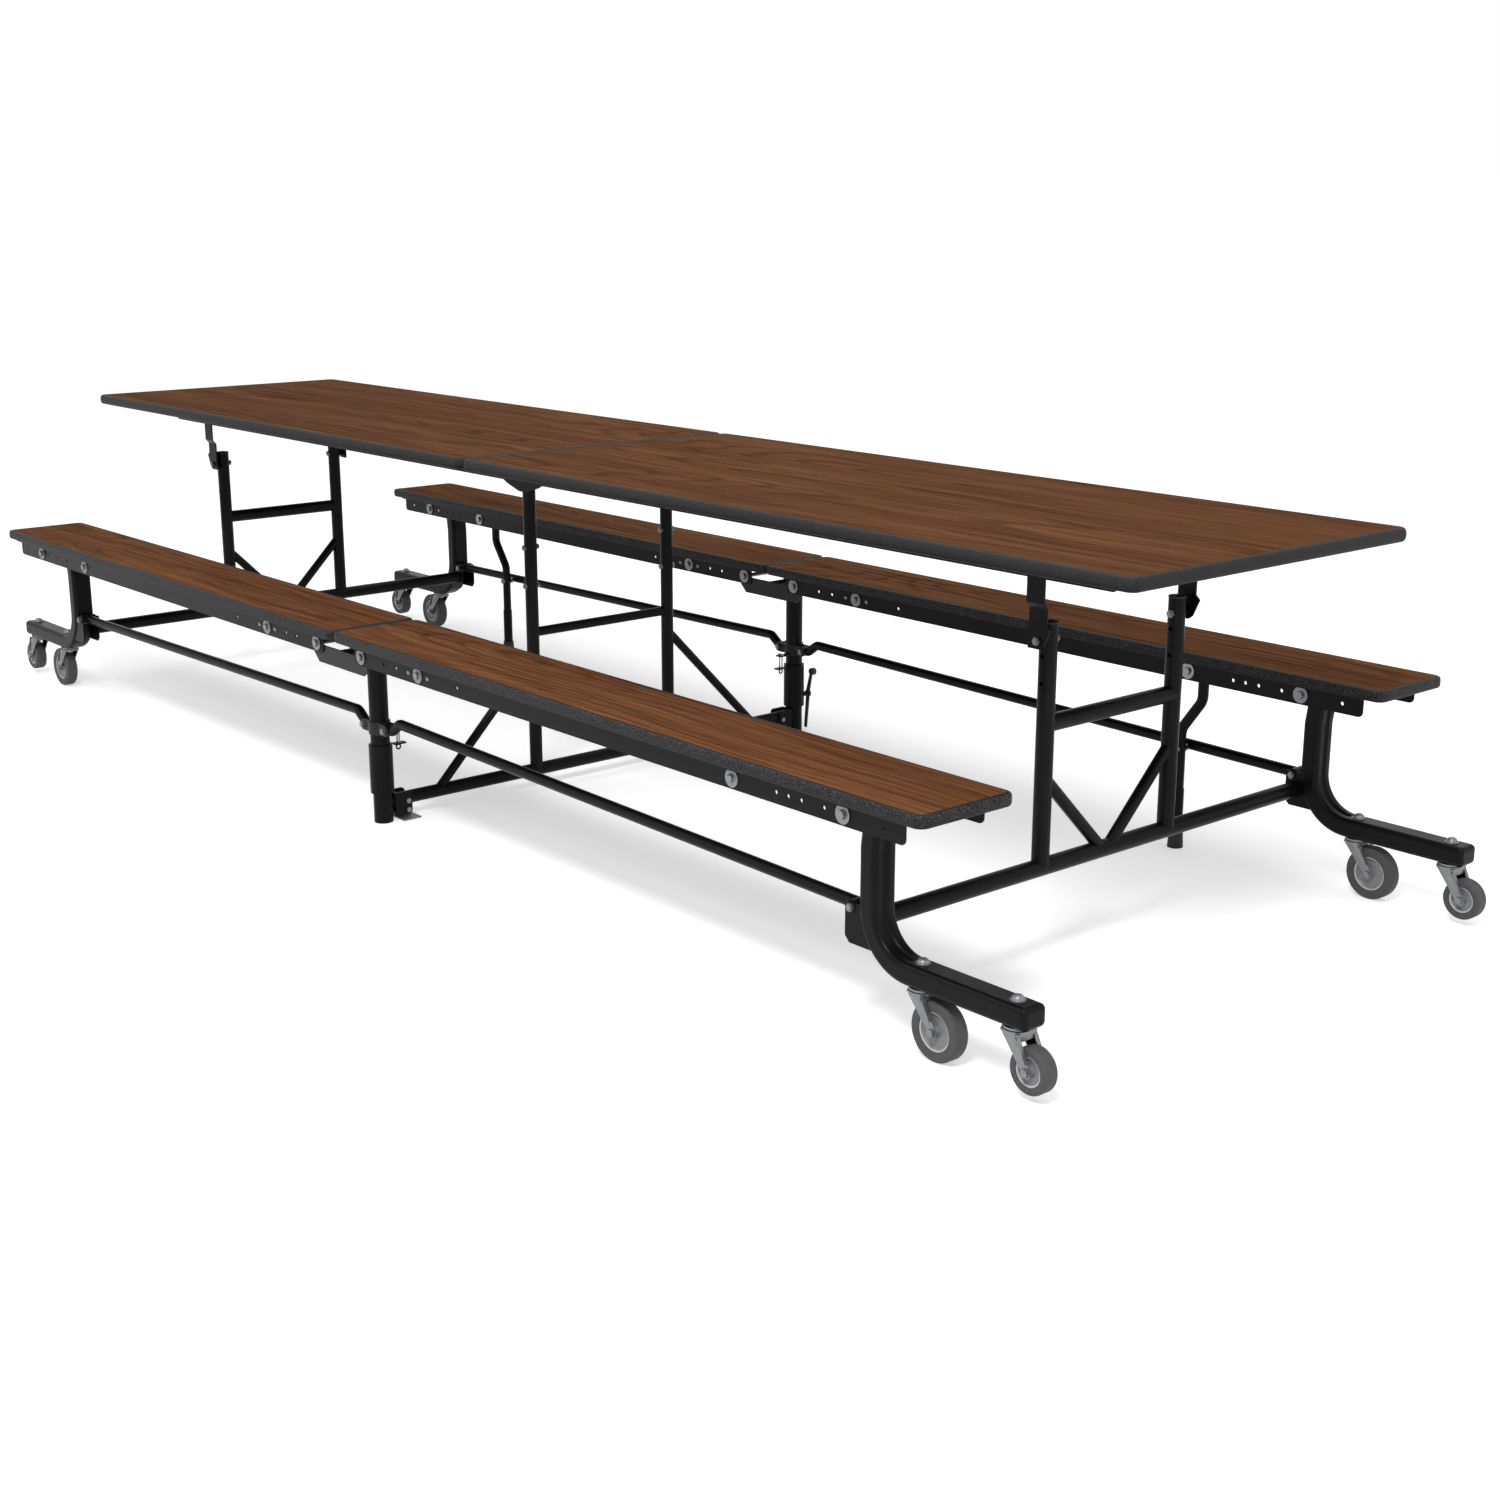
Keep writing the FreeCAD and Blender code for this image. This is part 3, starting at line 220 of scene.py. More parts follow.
class Shader:
    """A Principled material with short calls for the nodes that the finishes use."""

    def __init__(self, name, color, roughness, metallic=0.0, specular=0.5):
        self.material = bpy.data.materials.new(name)
        self.material.use_nodes = True
        self.tree = self.material.node_tree
        self.base = self.tree.nodes["Principled BSDF"]
        self.base.inputs["Base Color"].default_value = (*color, 1.0)
        self.base.inputs["Roughness"].default_value = roughness
        self.base.inputs["Metallic"].default_value = metallic
        self.base.inputs["Specular IOR Level"].default_value = specular
        places = self.tree.nodes.new("ShaderNodeTexCoord")
        self.coord = places.outputs["Object"]
        facing = self.tree.nodes.new("ShaderNodeSeparateXYZ")
        self.link(places.outputs["Normal"], facing.inputs[0])
        self.up = facing.outputs["Z"]

    def node(self, kind, **inputs):
        made = self.tree.nodes.new(kind)
        for key, value in inputs.items():
            made.inputs[key].default_value = value
        return made

    def link(self, a, b):
        self.tree.links.new(a, b)

    def vector(self, kind, a, b=None):
        """A vector operation on a, with b a socket or a fixed vector."""
        made = self.tree.nodes.new("ShaderNodeVectorMath")
        made.operation = kind
        self.link(a, made.inputs[0])
        if hasattr(b, "is_output"):
            self.link(b, made.inputs[1])
        elif b is not None:
            made.inputs[1].default_value = b
        return made.outputs["Value" if kind == "LENGTH" else "Vector"]

    def stretch(self, scale, source=None, shift=(0.0, 0.0, 0.0)):
        mapping = self.node("ShaderNodeMapping", Scale=scale, Location=shift)
        self.link(source or self.coord, mapping.inputs["Vector"])
        return mapping.outputs[0]

    def noise(self, vector, scale=1.0, detail=4.0, rough=0.55, twist=0.0):
        made = self.node("ShaderNodeTexNoise", Scale=scale, Detail=detail, Roughness=rough, Distortion=twist)
        self.link(vector, made.inputs["Vector"])
        return made.outputs["Fac"]

    def ramp(self, fac, stops):
        made = self.tree.nodes.new("ShaderNodeValToRGB")
        points = made.color_ramp.elements
        while len(points) < len(stops):
            points.new(0.5)
        for point, (place, color) in zip(points, stops):
            point.position = place
            point.color = (*color, 1.0)
        self.link(fac, made.inputs["Fac"])
        return made.outputs["Color"]

    def grey_ramp(self, fac, low, high, a=0.0, b=1.0):
        made = self.node("ShaderNodeMapRange")
        for key, value in (("From Min", low), ("From Max", high), ("To Min", a), ("To Max", b)):
            made.inputs[key].default_value = value
        self.link(fac, made.inputs["Value"])
        return made.outputs["Result"]

    def mix(self, fac, a, b, kind="MIX"):
        made = self.tree.nodes.new("ShaderNodeMix")
        made.data_type = "RGBA"
        made.blend_type = kind
        for socket, value in ((made.inputs[0], fac), (made.inputs[6], a), (made.inputs[7], b)):
            if hasattr(value, "is_output"):
                self.link(value, socket)
            elif isinstance(value, float):
                socket.default_value = value
            else:
                socket.default_value = (*value, 1.0)
        return made.outputs[2]

    def math(self, kind, a, b=0.0):
        made = self.tree.nodes.new("ShaderNodeMath")
        made.operation = kind
        for socket, value in ((made.inputs[0], a), (made.inputs[1], b)):
            if hasattr(value, "is_output"):
                self.link(value, socket)
            else:
                socket.default_value = value
        return made.outputs[0]

    def bump(self, height, strength, distance):
        made = self.node("ShaderNodeBump", Strength=strength, Distance=distance)
        self.link(height, made.inputs["Height"])
        self.link(made.outputs["Normal"], self.base.inputs["Normal"])

    def color(self, source):
        self.link(source, self.base.inputs["Base Color"])

    def roughness(self, source):
        self.link(source, self.base.inputs["Roughness"])


# ------------------------------------------------------------------ finishes

ZINC = (0.225, 0.228, 0.235)
PAINT = (0.0048, 0.0048, 0.0050)
GREY_PAINT = (0.026, 0.026, 0.027)
LEVER_PAINT = (0.085, 0.085, 0.088)
BOOT = (0.022, 0.022, 0.022)
TYRE = (0.056, 0.056, 0.058)
# the hub's grey is set darker as painted shade of its dish; the light ring colour is a painted highlight on
# the hub's edge
HUB = (0.22, 0.22, 0.225)
HUB_RIM_HIGHLIGHT = (0.52, 0.52, 0.525)
# a wheel's hub as a share of its radius, and the width of the painted highlight ring at its edge
HUB_SHARE = 0.64
HUB_RIM_HIGHLIGHT_W = 0.003

# wood figure: stops of (noise, colour) for the bands, and of (noise, factor) for the streaks and the arches
WOOD_BANDS = ((0.30, (0.112, 0.045, 0.020)), (0.45, (0.134, 0.056, 0.025)),
              (0.56, (0.152, 0.065, 0.029)), (0.72, (0.176, 0.080, 0.037)))
WOOD_STREAKS = ((0.36, (0.28, 0.24, 0.23)), (0.46, (0.84, 0.82, 0.81)),
                (0.54, (1.12, 1.12, 1.11)), (0.68, (1.50, 1.50, 1.46)))
WOOD_ARCHES = ((0.0, (1.10, 1.10, 1.09)), (0.62, (1.06, 1.06, 1.05)),
               (0.88, (0.50, 0.46, 0.45)), (1.0, (1.06, 1.06, 1.05)))
WOOD_MEAN = (0.135, 0.055, 0.024)
PORES = (0.046, 0.017, 0.009)
FLECKS = (0.048, 0.017, 0.008)
RINGS_PER_NOISE = 24.0
# plain backing sheet under the boards
BACKER = (0.030, 0.022, 0.018)
# painted shade: factors that darken the one laminate, more on the table than on the benches, for how the
# light falls on each
TABLE_PAINTED_SHADE, SEAT_PAINTED_SHADE = 0.735, 0.94


def laminate(name, shift, painted_shade):
    """Walnut-pattern laminate: growth-ring arches and bands along X, fine streaks, pores and dark flecks."""
    along_x, along_y, _ = shift
    # painted_shade darkens every colour of the wood: painted shade, not a different wood
    s = Shader(name, times(WOOD_MEAN, painted_shade), 0.65, 0.0, 0.003)
    # the grain wanders a little across the board
    wander = s.noise(s.stretch((0.9, 2.4, 1.0), shift=shift), 1.0, 3.0)
    sideways = s.tree.nodes.new("ShaderNodeCombineXYZ")
    s.link(s.math("MULTIPLY", wander, 0.10), sideways.inputs["Y"])
    grain = s.vector("ADD", s.coord, sideways.outputs[0])
    # bands and streaks
    bands = s.noise(s.stretch((0.8, 13.0, 1.0), grain, shift), 1.0, 5.0, 0.6, 0.4)
    wood = s.ramp(bands, [(stop, times(color, painted_shade)) for stop, color in WOOD_BANDS])
    streaks = s.noise(s.stretch((2.4, 170.0, 1.0), grain, shift), 1.0, 6.0, 0.72)
    wood = s.mix(0.92, wood, s.ramp(streaks, WOOD_STREAKS), "MULTIPLY")
    # arches of the growth rings, strong in some places only
    slow = s.noise(s.stretch((0.62, 3.6, 1.0), grain, (along_x + 3.0, along_y, 0.0)), 1.0, 1.0, 0.5, 0.25)
    ragged = s.math("MULTIPLY", streaks, 0.55)
    rings = s.math("FRACT", s.math("ADD", s.math("MULTIPLY", slow, RINGS_PER_NOISE), ragged))
    where = s.noise(s.stretch((1.1, 5.0, 1.0), grain, (along_x - 4.0, along_y, 0.0)), 1.0, 2.0)
    arched = s.mix(1.0, wood, s.ramp(rings, WOOD_ARCHES), "MULTIPLY")
    wood = s.mix(s.grey_ramp(where, 0.42, 0.60, 0.12, 0.80), wood, arched)
    # pores and flecks
    pores = s.noise(s.stretch((9.0, 480.0, 1.0), grain, shift), 1.0, 3.0, 0.55)
    wood = s.mix(s.grey_ramp(pores, 0.30, 0.44, 0.60, 0.0), wood, times(PORES, painted_shade))
    flecks = s.noise(s.stretch((3.6, 66.0, 1.0), grain, (along_x + 5.0, along_y, 0.0)), 1.0, 4.0, 0.72, 0.8)
    wood = s.mix(s.grey_ramp(flecks, 0.60, 0.74, 0.0, 0.75), wood, times(FLECKS, painted_shade))
    s.color(s.mix(s.grey_ramp(s.up, -0.5, 0.5), BACKER, wood))
    s.roughness(s.grey_ramp(pores, 0.3, 0.7, 0.70, 0.60))
    s.bump(pores, 0.05, 0.0004)
    return s.material


def edge_plastic(name, stops, relief):
    """Black moulded edge with grey flecks; painted shadow in a dark line where it meets the laminate, and
    painted shade on the faces that turn downward.
    """
    # line is the colour of the painted shadow along the laminate, shadow that of the painted shade underneath
    line, shadow = (0.004, 0.004, 0.004), (0.005, 0.005, 0.005)
    s = Shader(name, (0.02, 0.02, 0.02), 0.5, 0.0, 0.12)
    pebble = s.noise(s.coord, 520.0, 2.0, 0.55)
    tone = s.ramp(pebble, stops)
    # painted shadow on the faces turned straight up, along the laminate; painted shade on the faces turned
    # down
    gap_shadow_mask = s.grey_ramp(s.up, 0.95, 0.985)
    under = s.grey_ramp(s.up, -0.6, 0.2, 0.75, 0.0)
    s.color(s.mix(gap_shadow_mask, s.mix(under, tone, shadow), line))
    s.roughness(s.grey_ramp(pebble, 0.3, 0.7, 0.45, 0.60))
    s.bump(pebble, relief, 0.0006)
    return s.material


def powder_coat(name="frame_black", color=PAINT):
    """Satin powder coat with its fine orange peel."""
    s = Shader(name, color, 0.32, 0.0, 0.088)
    peel = s.noise(s.coord, 850.0, 2.0)
    cloud = s.noise(s.coord, 9.0, 4.0)
    s.color(s.mix(s.grey_ramp(cloud, 0.35, 0.7, 0.0, 0.6), color, times(color, 1.6)))
    s.roughness(s.grey_ramp(cloud, 0.3, 0.7, 0.29, 0.37))
    s.bump(peel, 0.08, 0.0003)
    return s


def painted_with_zinc(name, masks):
    """Powder coat, but zinc plate wherever all of the masks (axis, middle, half, outside) hold."""
    s = powder_coat(name)
    where = s.tree.nodes.new("ShaderNodeSeparateXYZ")
    s.link(s.coord, where.inputs[0])
    share = 1.0
    for axis, middle, half, outside in masks:
        off = s.math("ABSOLUTE", s.math("SUBTRACT", where.outputs[axis], middle))
        share = s.math("MULTIPLY", share, s.math("GREATER_THAN" if outside else "LESS_THAN", off, half))
    paint = s.base.inputs["Base Color"].links[0].from_socket
    s.color(s.mix(share, paint, ZINC))
    s.roughness(s.grey_ramp(share, 0.0, 1.0, 0.34, 0.30))
    s.link(share, s.base.inputs["Metallic"])
    return s.material


def zinc(name="zinc_plate", color=ZINC, roughness=0.40):
    """Dull zinc plate: slight clouds and a fine spangle."""
    s = Shader(name, color, roughness, 0.70)
    cloud = s.noise(s.coord, 60.0, 5.0, 0.6)
    spangle = s.noise(s.coord, 520.0, 2.0)
    s.color(s.mix(s.grey_ramp(cloud, 0.3, 0.7), times(color, 0.84), times(color, 1.1)))
    s.roughness(s.grey_ramp(cloud, 0.3, 0.7, roughness - 0.08, roughness + 0.10))
    s.bump(spangle, 0.05, 0.0003)
    return s.material


def rubber(name, color, roughness):
    s = Shader(name, color, roughness, 0.0, 0.35)
    grain = s.noise(s.coord, 420.0, 3.0)
    cloud = s.noise(s.coord, 40.0, 3.0)
    s.color(s.mix(s.grey_ramp(cloud, 0.3, 0.7), times(color, 0.9), times(color, 1.1)))
    s.roughness(s.grey_ramp(grain, 0.3, 0.7, roughness - 0.06, roughness + 0.08))
    s.bump(grain, 0.10, 0.0003)
    return s.material


def wheel_finish(name, axle, hub_r):
    """Grey tyre outside hub_r of the axle; inside it a grey hub, set darker as painted shade of its dish,
    with a painted highlight ring at its edge.
    """
    s = Shader(name, TYRE, 0.62, 0.0, 0.4)
    across = s.vector("MULTIPLY", s.vector("SUBTRACT", s.coord, axle), (1.0, 0.0, 1.0))
    radius = s.vector("LENGTH", across)
    outside = s.grey_ramp(radius, hub_r - 0.2 * MM, hub_r + 0.2 * MM, 0.0, 1.0)
    scuff = s.noise(s.coord, 95.0, 4.0, 0.6)
    worn = s.mix(s.grey_ramp(scuff, 0.35, 0.7, 0.0, 0.6), TYRE, times(TYRE, 1.35))
    clean = s.mix(s.grey_ramp(scuff, 0.3, 0.7, 0.0, 0.5), HUB, times(HUB, 0.8))
    # painted highlight: a bright ring just inside the hub's edge
    clean = s.mix(s.grey_ramp(radius, hub_r - HUB_RIM_HIGHLIGHT_W, hub_r - 0.8 * HUB_RIM_HIGHLIGHT_W), clean, HUB_RIM_HIGHLIGHT)
    s.color(s.mix(outside, clean, worn))
    s.roughness(s.grey_ramp(outside, 0.0, 1.0, 0.42, 0.68))
    s.bump(s.noise(s.coord, 420.0, 3.0), 0.08, 0.0003)
    return s.material


SMOOTH_EDGE = edge_plastic("edge_smooth", ((0.35, (0.013, 0.013, 0.013)), (0.50, (0.021, 0.021, 0.022)),
                                           (0.66, (0.036, 0.036, 0.037))), 0.15)
PEBBLED_EDGE = edge_plastic("edge_pebbled", ((0.40, (0.004, 0.004, 0.004)), (0.50, (0.013, 0.013, 0.014)),
                                             (0.61, (0.070, 0.070, 0.072))), 0.5)
FINISH = {
    "edge_band": PEBBLED_EDGE,
    "frame_paint": powder_coat().material,
    "zinc": zinc(),
    "grey_steel": powder_coat("grey_steel", GREY_PAINT).material,
    "boot_rubber": rubber("boot_black", BOOT, 0.6),
}
# nodes in which one slot holds both paint and plate: the drop legs' bolts are plated where they leave the
# tube, and the pull pins along their wires
DROP_LEG = painted_with_zinc("drop_leg_finish", (("Y", 0.562, 0.01105, True), ("Z", 0.30, 0.17, False)))
PULL_PIN = painted_with_zinc("pull_pin_finish", (("Z", 0.195, 0.0268, False),))
SPECIAL = {
    "drop_leg_L": DROP_LEG,
    "drop_leg_R": DROP_LEG,
    "pull_pin_F": PULL_PIN,
    "pull_pin_B": PULL_PIN,
    "latch_lever": powder_coat("lever_grey", LEVER_PAINT).material,
}


def wheel_axle(name):
    """Axle point and radius of a wheel node."""
    low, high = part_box(name)
    middle = [(a + b) / 2.0 for a, b in zip(low, high)]
    return tuple(middle), (high[2] - low[2]) / 2.0


def dress_nodes():
    """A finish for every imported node, and the boards with their bands."""
    slots = {part["node"]: part["material_slot"] for part in frame["record"]["subparts"]}
    for index, (name, slot) in enumerate(sorted(slots.items())):
        if name in SPECIAL:
            material = SPECIAL[name]
        elif slot == "laminate":
            painted_shade = TABLE_PAINTED_SHADE if name.startswith("top") else SEAT_PAINTED_SHADE
            material = laminate("laminate_" + name, (1.7 * index, 0.37 * index, 0.0), painted_shade)
            board_and_band(name, name.replace("board", "edge"), material)
        elif slot == "grey_tyre":
            axle, radius = wheel_axle(name)
            material = wheel_finish("finish_" + name, axle, radius * HUB_SHARE)
        else:
            material = FINISH[slot]
        node = frame["nodes"][name]
        node.data.materials.clear()
        node.data.materials.append(material)


# ------------------------------------------------------------------ mesh helpers

def body_of(node):
    bodies = frame["record"]["behaviour"]["bodies"]
    return next(body for body, nodes in bodies.items() if node in nodes)


def make_object(name, bm, material, body, smooth=True):
    """A finished piece that rides on the body; smooth pieces keep their edges over 38 degrees sharp."""
    mesh = bpy.data.meshes.new(name)
    bmesh.ops.recalc_face_normals(bm, faces=bm.faces)
    bm.to_mesh(mesh)
    bm.free()
    mesh.materials.append(material)
    for face in mesh.polygons:
        face.use_smooth = smooth
    made = bpy.data.objects.new(name, mesh)
    bpy.context.scene.collection.objects.link(made)
    if smooth:
        sharp = made.modifiers.new("sharp", "EDGE_SPLIT")
        sharp.split_angle = math.radians(38)
    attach(made, body)
    return made


def lathe(bm, profile, centre, axis, steps=40):
    """Turns a profile of (along, radius) points about an axis through centre."""
    axis = Vector(axis).normalized()
    side = axis.orthogonal().normalized()
    up = axis.cross(side)
    rings = []
    for along, radius in profile:
        mid = Vector(centre) + axis * along
        if radius < 1e-7:
            rings.append([bm.verts.new(mid)])
            continue
        ring = []
        for k in range(steps):
            turn = 2 * math.pi * k / steps
            ring.append(bm.verts.new(mid + (side * math.cos(turn) + up * math.sin(turn)) * radius))
        rings.append(ring)
    for low, high in zip(rings, rings[1:]):
        for k in range(steps):
            a, b = low[k % len(low)], low[(k + 1) % len(low)]
            c, d = high[(k + 1) % len(high)], high[k % len(high)]
            corners = []
            for vert in (a, b, c, d):
                if vert not in corners:
                    corners.append(vert)
            if len(corners) > 2:
                bm.faces.new(corners)


def tube(bm, start, end, radius):
    run = Vector(end) - Vector(start)
    lathe(bm, ((0.0, 0.0), (0.0, radius), (run.length, radius), (run.length, 0.0)), start, run, 32)


def join_rings(bm, rings, closed=False):
    """Walls between rings of vertices; closed also joins the last ring to the first."""
    pairs = list(zip(rings, rings[1:]))
    if closed:
        pairs.append((rings[-1], rings[0]))
    for low, high in pairs:
        for k in range(len(low)):
            after = (k + 1) % len(low)
            bm.faces.new((low[k], low[after], high[after], high[k]))


def loft(bm, sections):
    """A solid through the sections, lists of points, with its two ends capped."""
    rings = [[bm.verts.new(point) for point in section] for section in sections]
    join_rings(bm, rings)
    bm.faces.new(rings[0][::-1])
    bm.faces.new(rings[-1])


def slab(bm, points, near, far, place):
    """A plate: points are (x, z), near and far its faces in y, and place puts each corner where it goes."""
    loft(bm, [[place(x, y, z) for x, z in points] for y in (near, far)])


def bored(name, tubes, bores):
    """A mesh of the tubes with the bores cut through them."""
    made = []
    for bm in (tubes, bores):
        bmesh.ops.recalc_face_normals(bm, faces=bm.faces)
        mesh = bpy.data.meshes.new(name)
        bm.to_mesh(mesh)
        bm.free()
        made.append(bpy.data.objects.new(name, mesh))
        bpy.context.scene.collection.objects.link(made[-1])
    body, cutter = made
    cut = body.modifiers.new("bores", "BOOLEAN")
    cut.operation, cut.object, cut.solver = "DIFFERENCE", cutter, "EXACT"
    seen = bpy.context.evaluated_depsgraph_get()
    result = bmesh.new()
    result.from_mesh(bpy.data.meshes.new_from_object(body.evaluated_get(seen)))
    for piece in made:
        bpy.data.objects.remove(piece)
    return result


# ------------------------------------------------------------------ boards with their moulded bands

def board_outline(low, high, inset, steps=8):
    """A board's rounded plan outline as (x, y) points, drawn inset from its edge."""
    points = []
    for quarter, (sx, sy) in enumerate(((1, 1), (-1, 1), (-1, -1), (1, -1))):
        centre_x = (high[0] if sx > 0 else low[0]) - sx * BOARD_ROUND
        centre_y = (high[1] if sy > 0 else low[1]) - sy * BOARD_ROUND
        for k in range(steps + 1):
            turn = math.pi / 2 * (quarter + k / steps)
            points.append((centre_x + (BOARD_ROUND - inset) * math.cos(turn),
                           centre_y + (BOARD_ROUND - inset) * math.sin(turn)))
    return points


def board_and_band(board, band, laminate_finish, steps=12):
    """The laminate and the bullnose band round it, in the room of the CAD's board and band."""
    low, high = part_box(band)
    middle, half = (low[2] + high[2]) / 2.0, (high[2] - low[2]) / 2.0
    table = board.startswith("top")
    # the lower the power, the squarer the bullnose
    power = 0.8 if table else 0.55
    rings = []
    bm = bmesh.new()
    for k in range(steps + 1):
        turn = math.pi * (k / steps - 0.5)
        inset = BAND_W * (1.0 - max(math.cos(turn), 0.0) ** power)
        level = middle + half * math.copysign(abs(math.sin(turn)) ** power, turn)
        rings.append([bm.verts.new((x, y, level)) for x, y in board_outline(low, high, inset)])
    join_rings(bm, rings, True)
    edge_finish = SMOOTH_EDGE if table else PEBBLED_EDGE
    made = make_object(band.replace("edge", "band"), bm, edge_finish, body_of(band))
    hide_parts(band)
    bm = bmesh.new()
    loft(bm, [[(x, y, level) for x, y in board_outline(low, high, BAND_W)]
              for level in (low[2] + 0.5 * MM, high[2])])
    name = board.replace("board", "laminate")
    made = make_object(name, bm, laminate_finish, body_of(board), False)
    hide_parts(board)


# ------------------------------------------------------------------ end frames: straps, tubes and casters

# outlines of a strap's plates as (x, z): the lower one, with a wing on its outer edge, is off the pivot bolt
STRAP_HALF = 0.0195
STRAP_KNEE = 0.056
STRAP_JOGGLE = 0.066
STRAP_LOW_PLATE = ((-STRAP_HALF, STRAP_KNEE), (STRAP_HALF, STRAP_KNEE), (STRAP_HALF, 0.031), (0.0285, 0.023),
                   (0.0145, -0.008), (0.0065, -0.014), (-0.021, -0.014))
STRAP_ROUND = 0.014
SPACER_R = 0.008


def strap_upper_plate(joggle_z):
    points = [(-STRAP_HALF, joggle_z), (STRAP_HALF, joggle_z)]
    for s in (1, -1):
        for k in range(7):
            turn = math.pi / 2 * k / 6
            x, z = math.cos(turn), math.sin(turn)
            if s < 0:
                x, z = z, x
            points.append((s * (STRAP_HALF - STRAP_ROUND + STRAP_ROUND * x),
                           STRAP_TOP_Z - STRAP_ROUND + STRAP_ROUND * z))
    return points


def table_straps():
    """Flat joggled straps from the end posts up to the table rails, and a spacer behind each."""
    knee_z, joggle_z = STRAP_BOLT_Z + STRAP_KNEE, STRAP_BOLT_Z + STRAP_JOGGLE
    low_plate = [(x, STRAP_BOLT_Z + z) for x, z in STRAP_LOW_PLATE]
    joggle = [(STRAP_LOW_Y - STRAP_T, knee_z), (STRAP_LOW_Y, knee_z), (STRAP_UP_Y, joggle_z),
              (STRAP_UP_Y - STRAP_T, joggle_z)]
    post_face = POST_Y + POST_R
    spacer_run = STRAP_LOW_Y - STRAP_T - POST_Y - POST_R
    spacer = ((0.0, 0.0), (0.0, SPACER_R), (spacer_run, SPACER_R), (spacer_run, 0.0))
    for side, sx in SIDES:
        bm = bmesh.new()
        for s in (-1, 1):
            def put(x, y, z):
                return (sx * (END_X + x), s * y, z)
            slab(bm, low_plate, STRAP_LOW_Y - STRAP_T, STRAP_LOW_Y, put)
            slab(bm, strap_upper_plate(joggle_z), STRAP_UP_Y - STRAP_T, STRAP_UP_Y, put)
            loft(bm, [[put(x, y, z) for y, z in joggle] for x in (-STRAP_HALF, STRAP_HALF)])
            lathe(bm, spacer, put(0.0, post_face, STRAP_BOLT_Z), (0.0, float(s), 0.0), 24)
        node = "end_straps_" + side
        name = "table_straps_" + side
        made = make_object(name, bm, FINISH["frame_paint"], body_of(node), False)
        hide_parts(node)


def end_tubes():
    """The end frames' tubes, with the rung's and the braces' full thickness and the braces at 45 degrees."""
    rung_r, brace_r, brace_run = 0.0156, 0.0112, 0.163
    bores_z, bore_r = (0.560, 0.512), 4.0 * MM
    for side, sx in SIDES:
        x = sx * END_X
        bars, posts, bores = bmesh.new(), bmesh.new(), bmesh.new()
        tube(bars, (x, -CROSS_END, CROSS_Z), (x, CROSS_END, CROSS_Z), POST_R)
        tube(bars, (x, -POST_Y, RUNG_Z), (x, POST_Y, RUNG_Z), rung_r)
        for s in (-1, 1):
            tube(bars, (x, s * POST_Y, CROSS_Z + brace_run), (x, s * (POST_Y - brace_run), CROSS_Z), brace_r)
            tube(posts, (x, s * POST_Y, CROSS_Z), (x, s * POST_Y, POST_TOP), POST_R)
        for z in bores_z:
            tube(bores, (x, -POST_Y - 2 * POST_R, z), (x, POST_Y + 2 * POST_R, z), bore_r)
        node = "end_frame_" + side
        for name, bm in (("end_bars_", bars), ("end_posts_", bored("posts", posts, bores))):
            made = make_object(name + side, bm, FINISH["frame_paint"], body_of(node))
            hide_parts(node)


def fork_skirts(levels=8, steps=10):
    """The drawn cone on each cheek of the stamped forks, and the flange across their front."""
    rim_r, toe_r, cheek_in, cheek_out = 23.5 * MM, 5.2 * MM, 15.5 * MM, 18.0 * MM
    flange_x, flange_half = (0.018, 0.0205), cheek_out + 5.0 * MM
    for side, sx in SIDES:
        for row, sy in ROWS:
            for place, (stem_x, axle_x, toe_z, flange_z) in CASTERS.items():
                bm = bmesh.new()
                for s in (-1, 1):
                    sections = []
                    for k in range(levels + 1):
                        t = k / levels
                        centre_x = stem_x + (axle_x - toe_r - stem_x) * t
                        centre_y = (cheek_out - toe_r) * t
                        radius = rim_r + (toe_r - rim_r) * t
                        level = CROWN_Z + (toe_z - CROWN_Z) * t
                        first = math.asin((cheek_in - centre_y) / radius)
                        section = []
                        for j in range(steps + 1):
                            turn = first + (math.pi - 2 * first) * j / steps
                            x, y = centre_x + radius * math.cos(turn), centre_y + radius * math.sin(turn)
                            section.append((sx * x, sy * LEG_Y + s * y, level))
                        sections.append(section)
                    loft(bm, sections)
                near_x, far_x = flange_x
                flange = [(near_x, CROWN_Z), (far_x, CROWN_Z), (far_x, flange_z), (near_x, flange_z)]

                def put(x, y, z):
                    return (sx * (stem_x + x), sy * LEG_Y + y, z)
                slab(bm, flange, -flange_half, flange_half, put)
                caster = row + side + "_" + place
                make_object("fork_skirt_" + caster, bm, FINISH["zinc"], "swivel_" + caster)


# ------------------------------------------------------------------ small fasteners and caps

def hex_head(bm, place, outward, across, base, height):
    """Hexagon head with a chamfered top."""
    axis = Vector(outward)
    side = Vector((1.0, 0.0, 0.0))
    up = axis.cross(side)
    rings = []
    for level, size in ((base, across), (base + height * 0.8, across), (base + height, across * 0.88)):
        mid = Vector(place) + axis * level
        ring = []
        for k in range(6):
            turn = k * math.pi / 3
            ring.append(bm.verts.new(mid + (side * math.cos(turn) + up * math.sin(turn)) * size))
        rings.append(ring)
    join_rings(bm, rings)
    bm.faces.new(rings[-1])


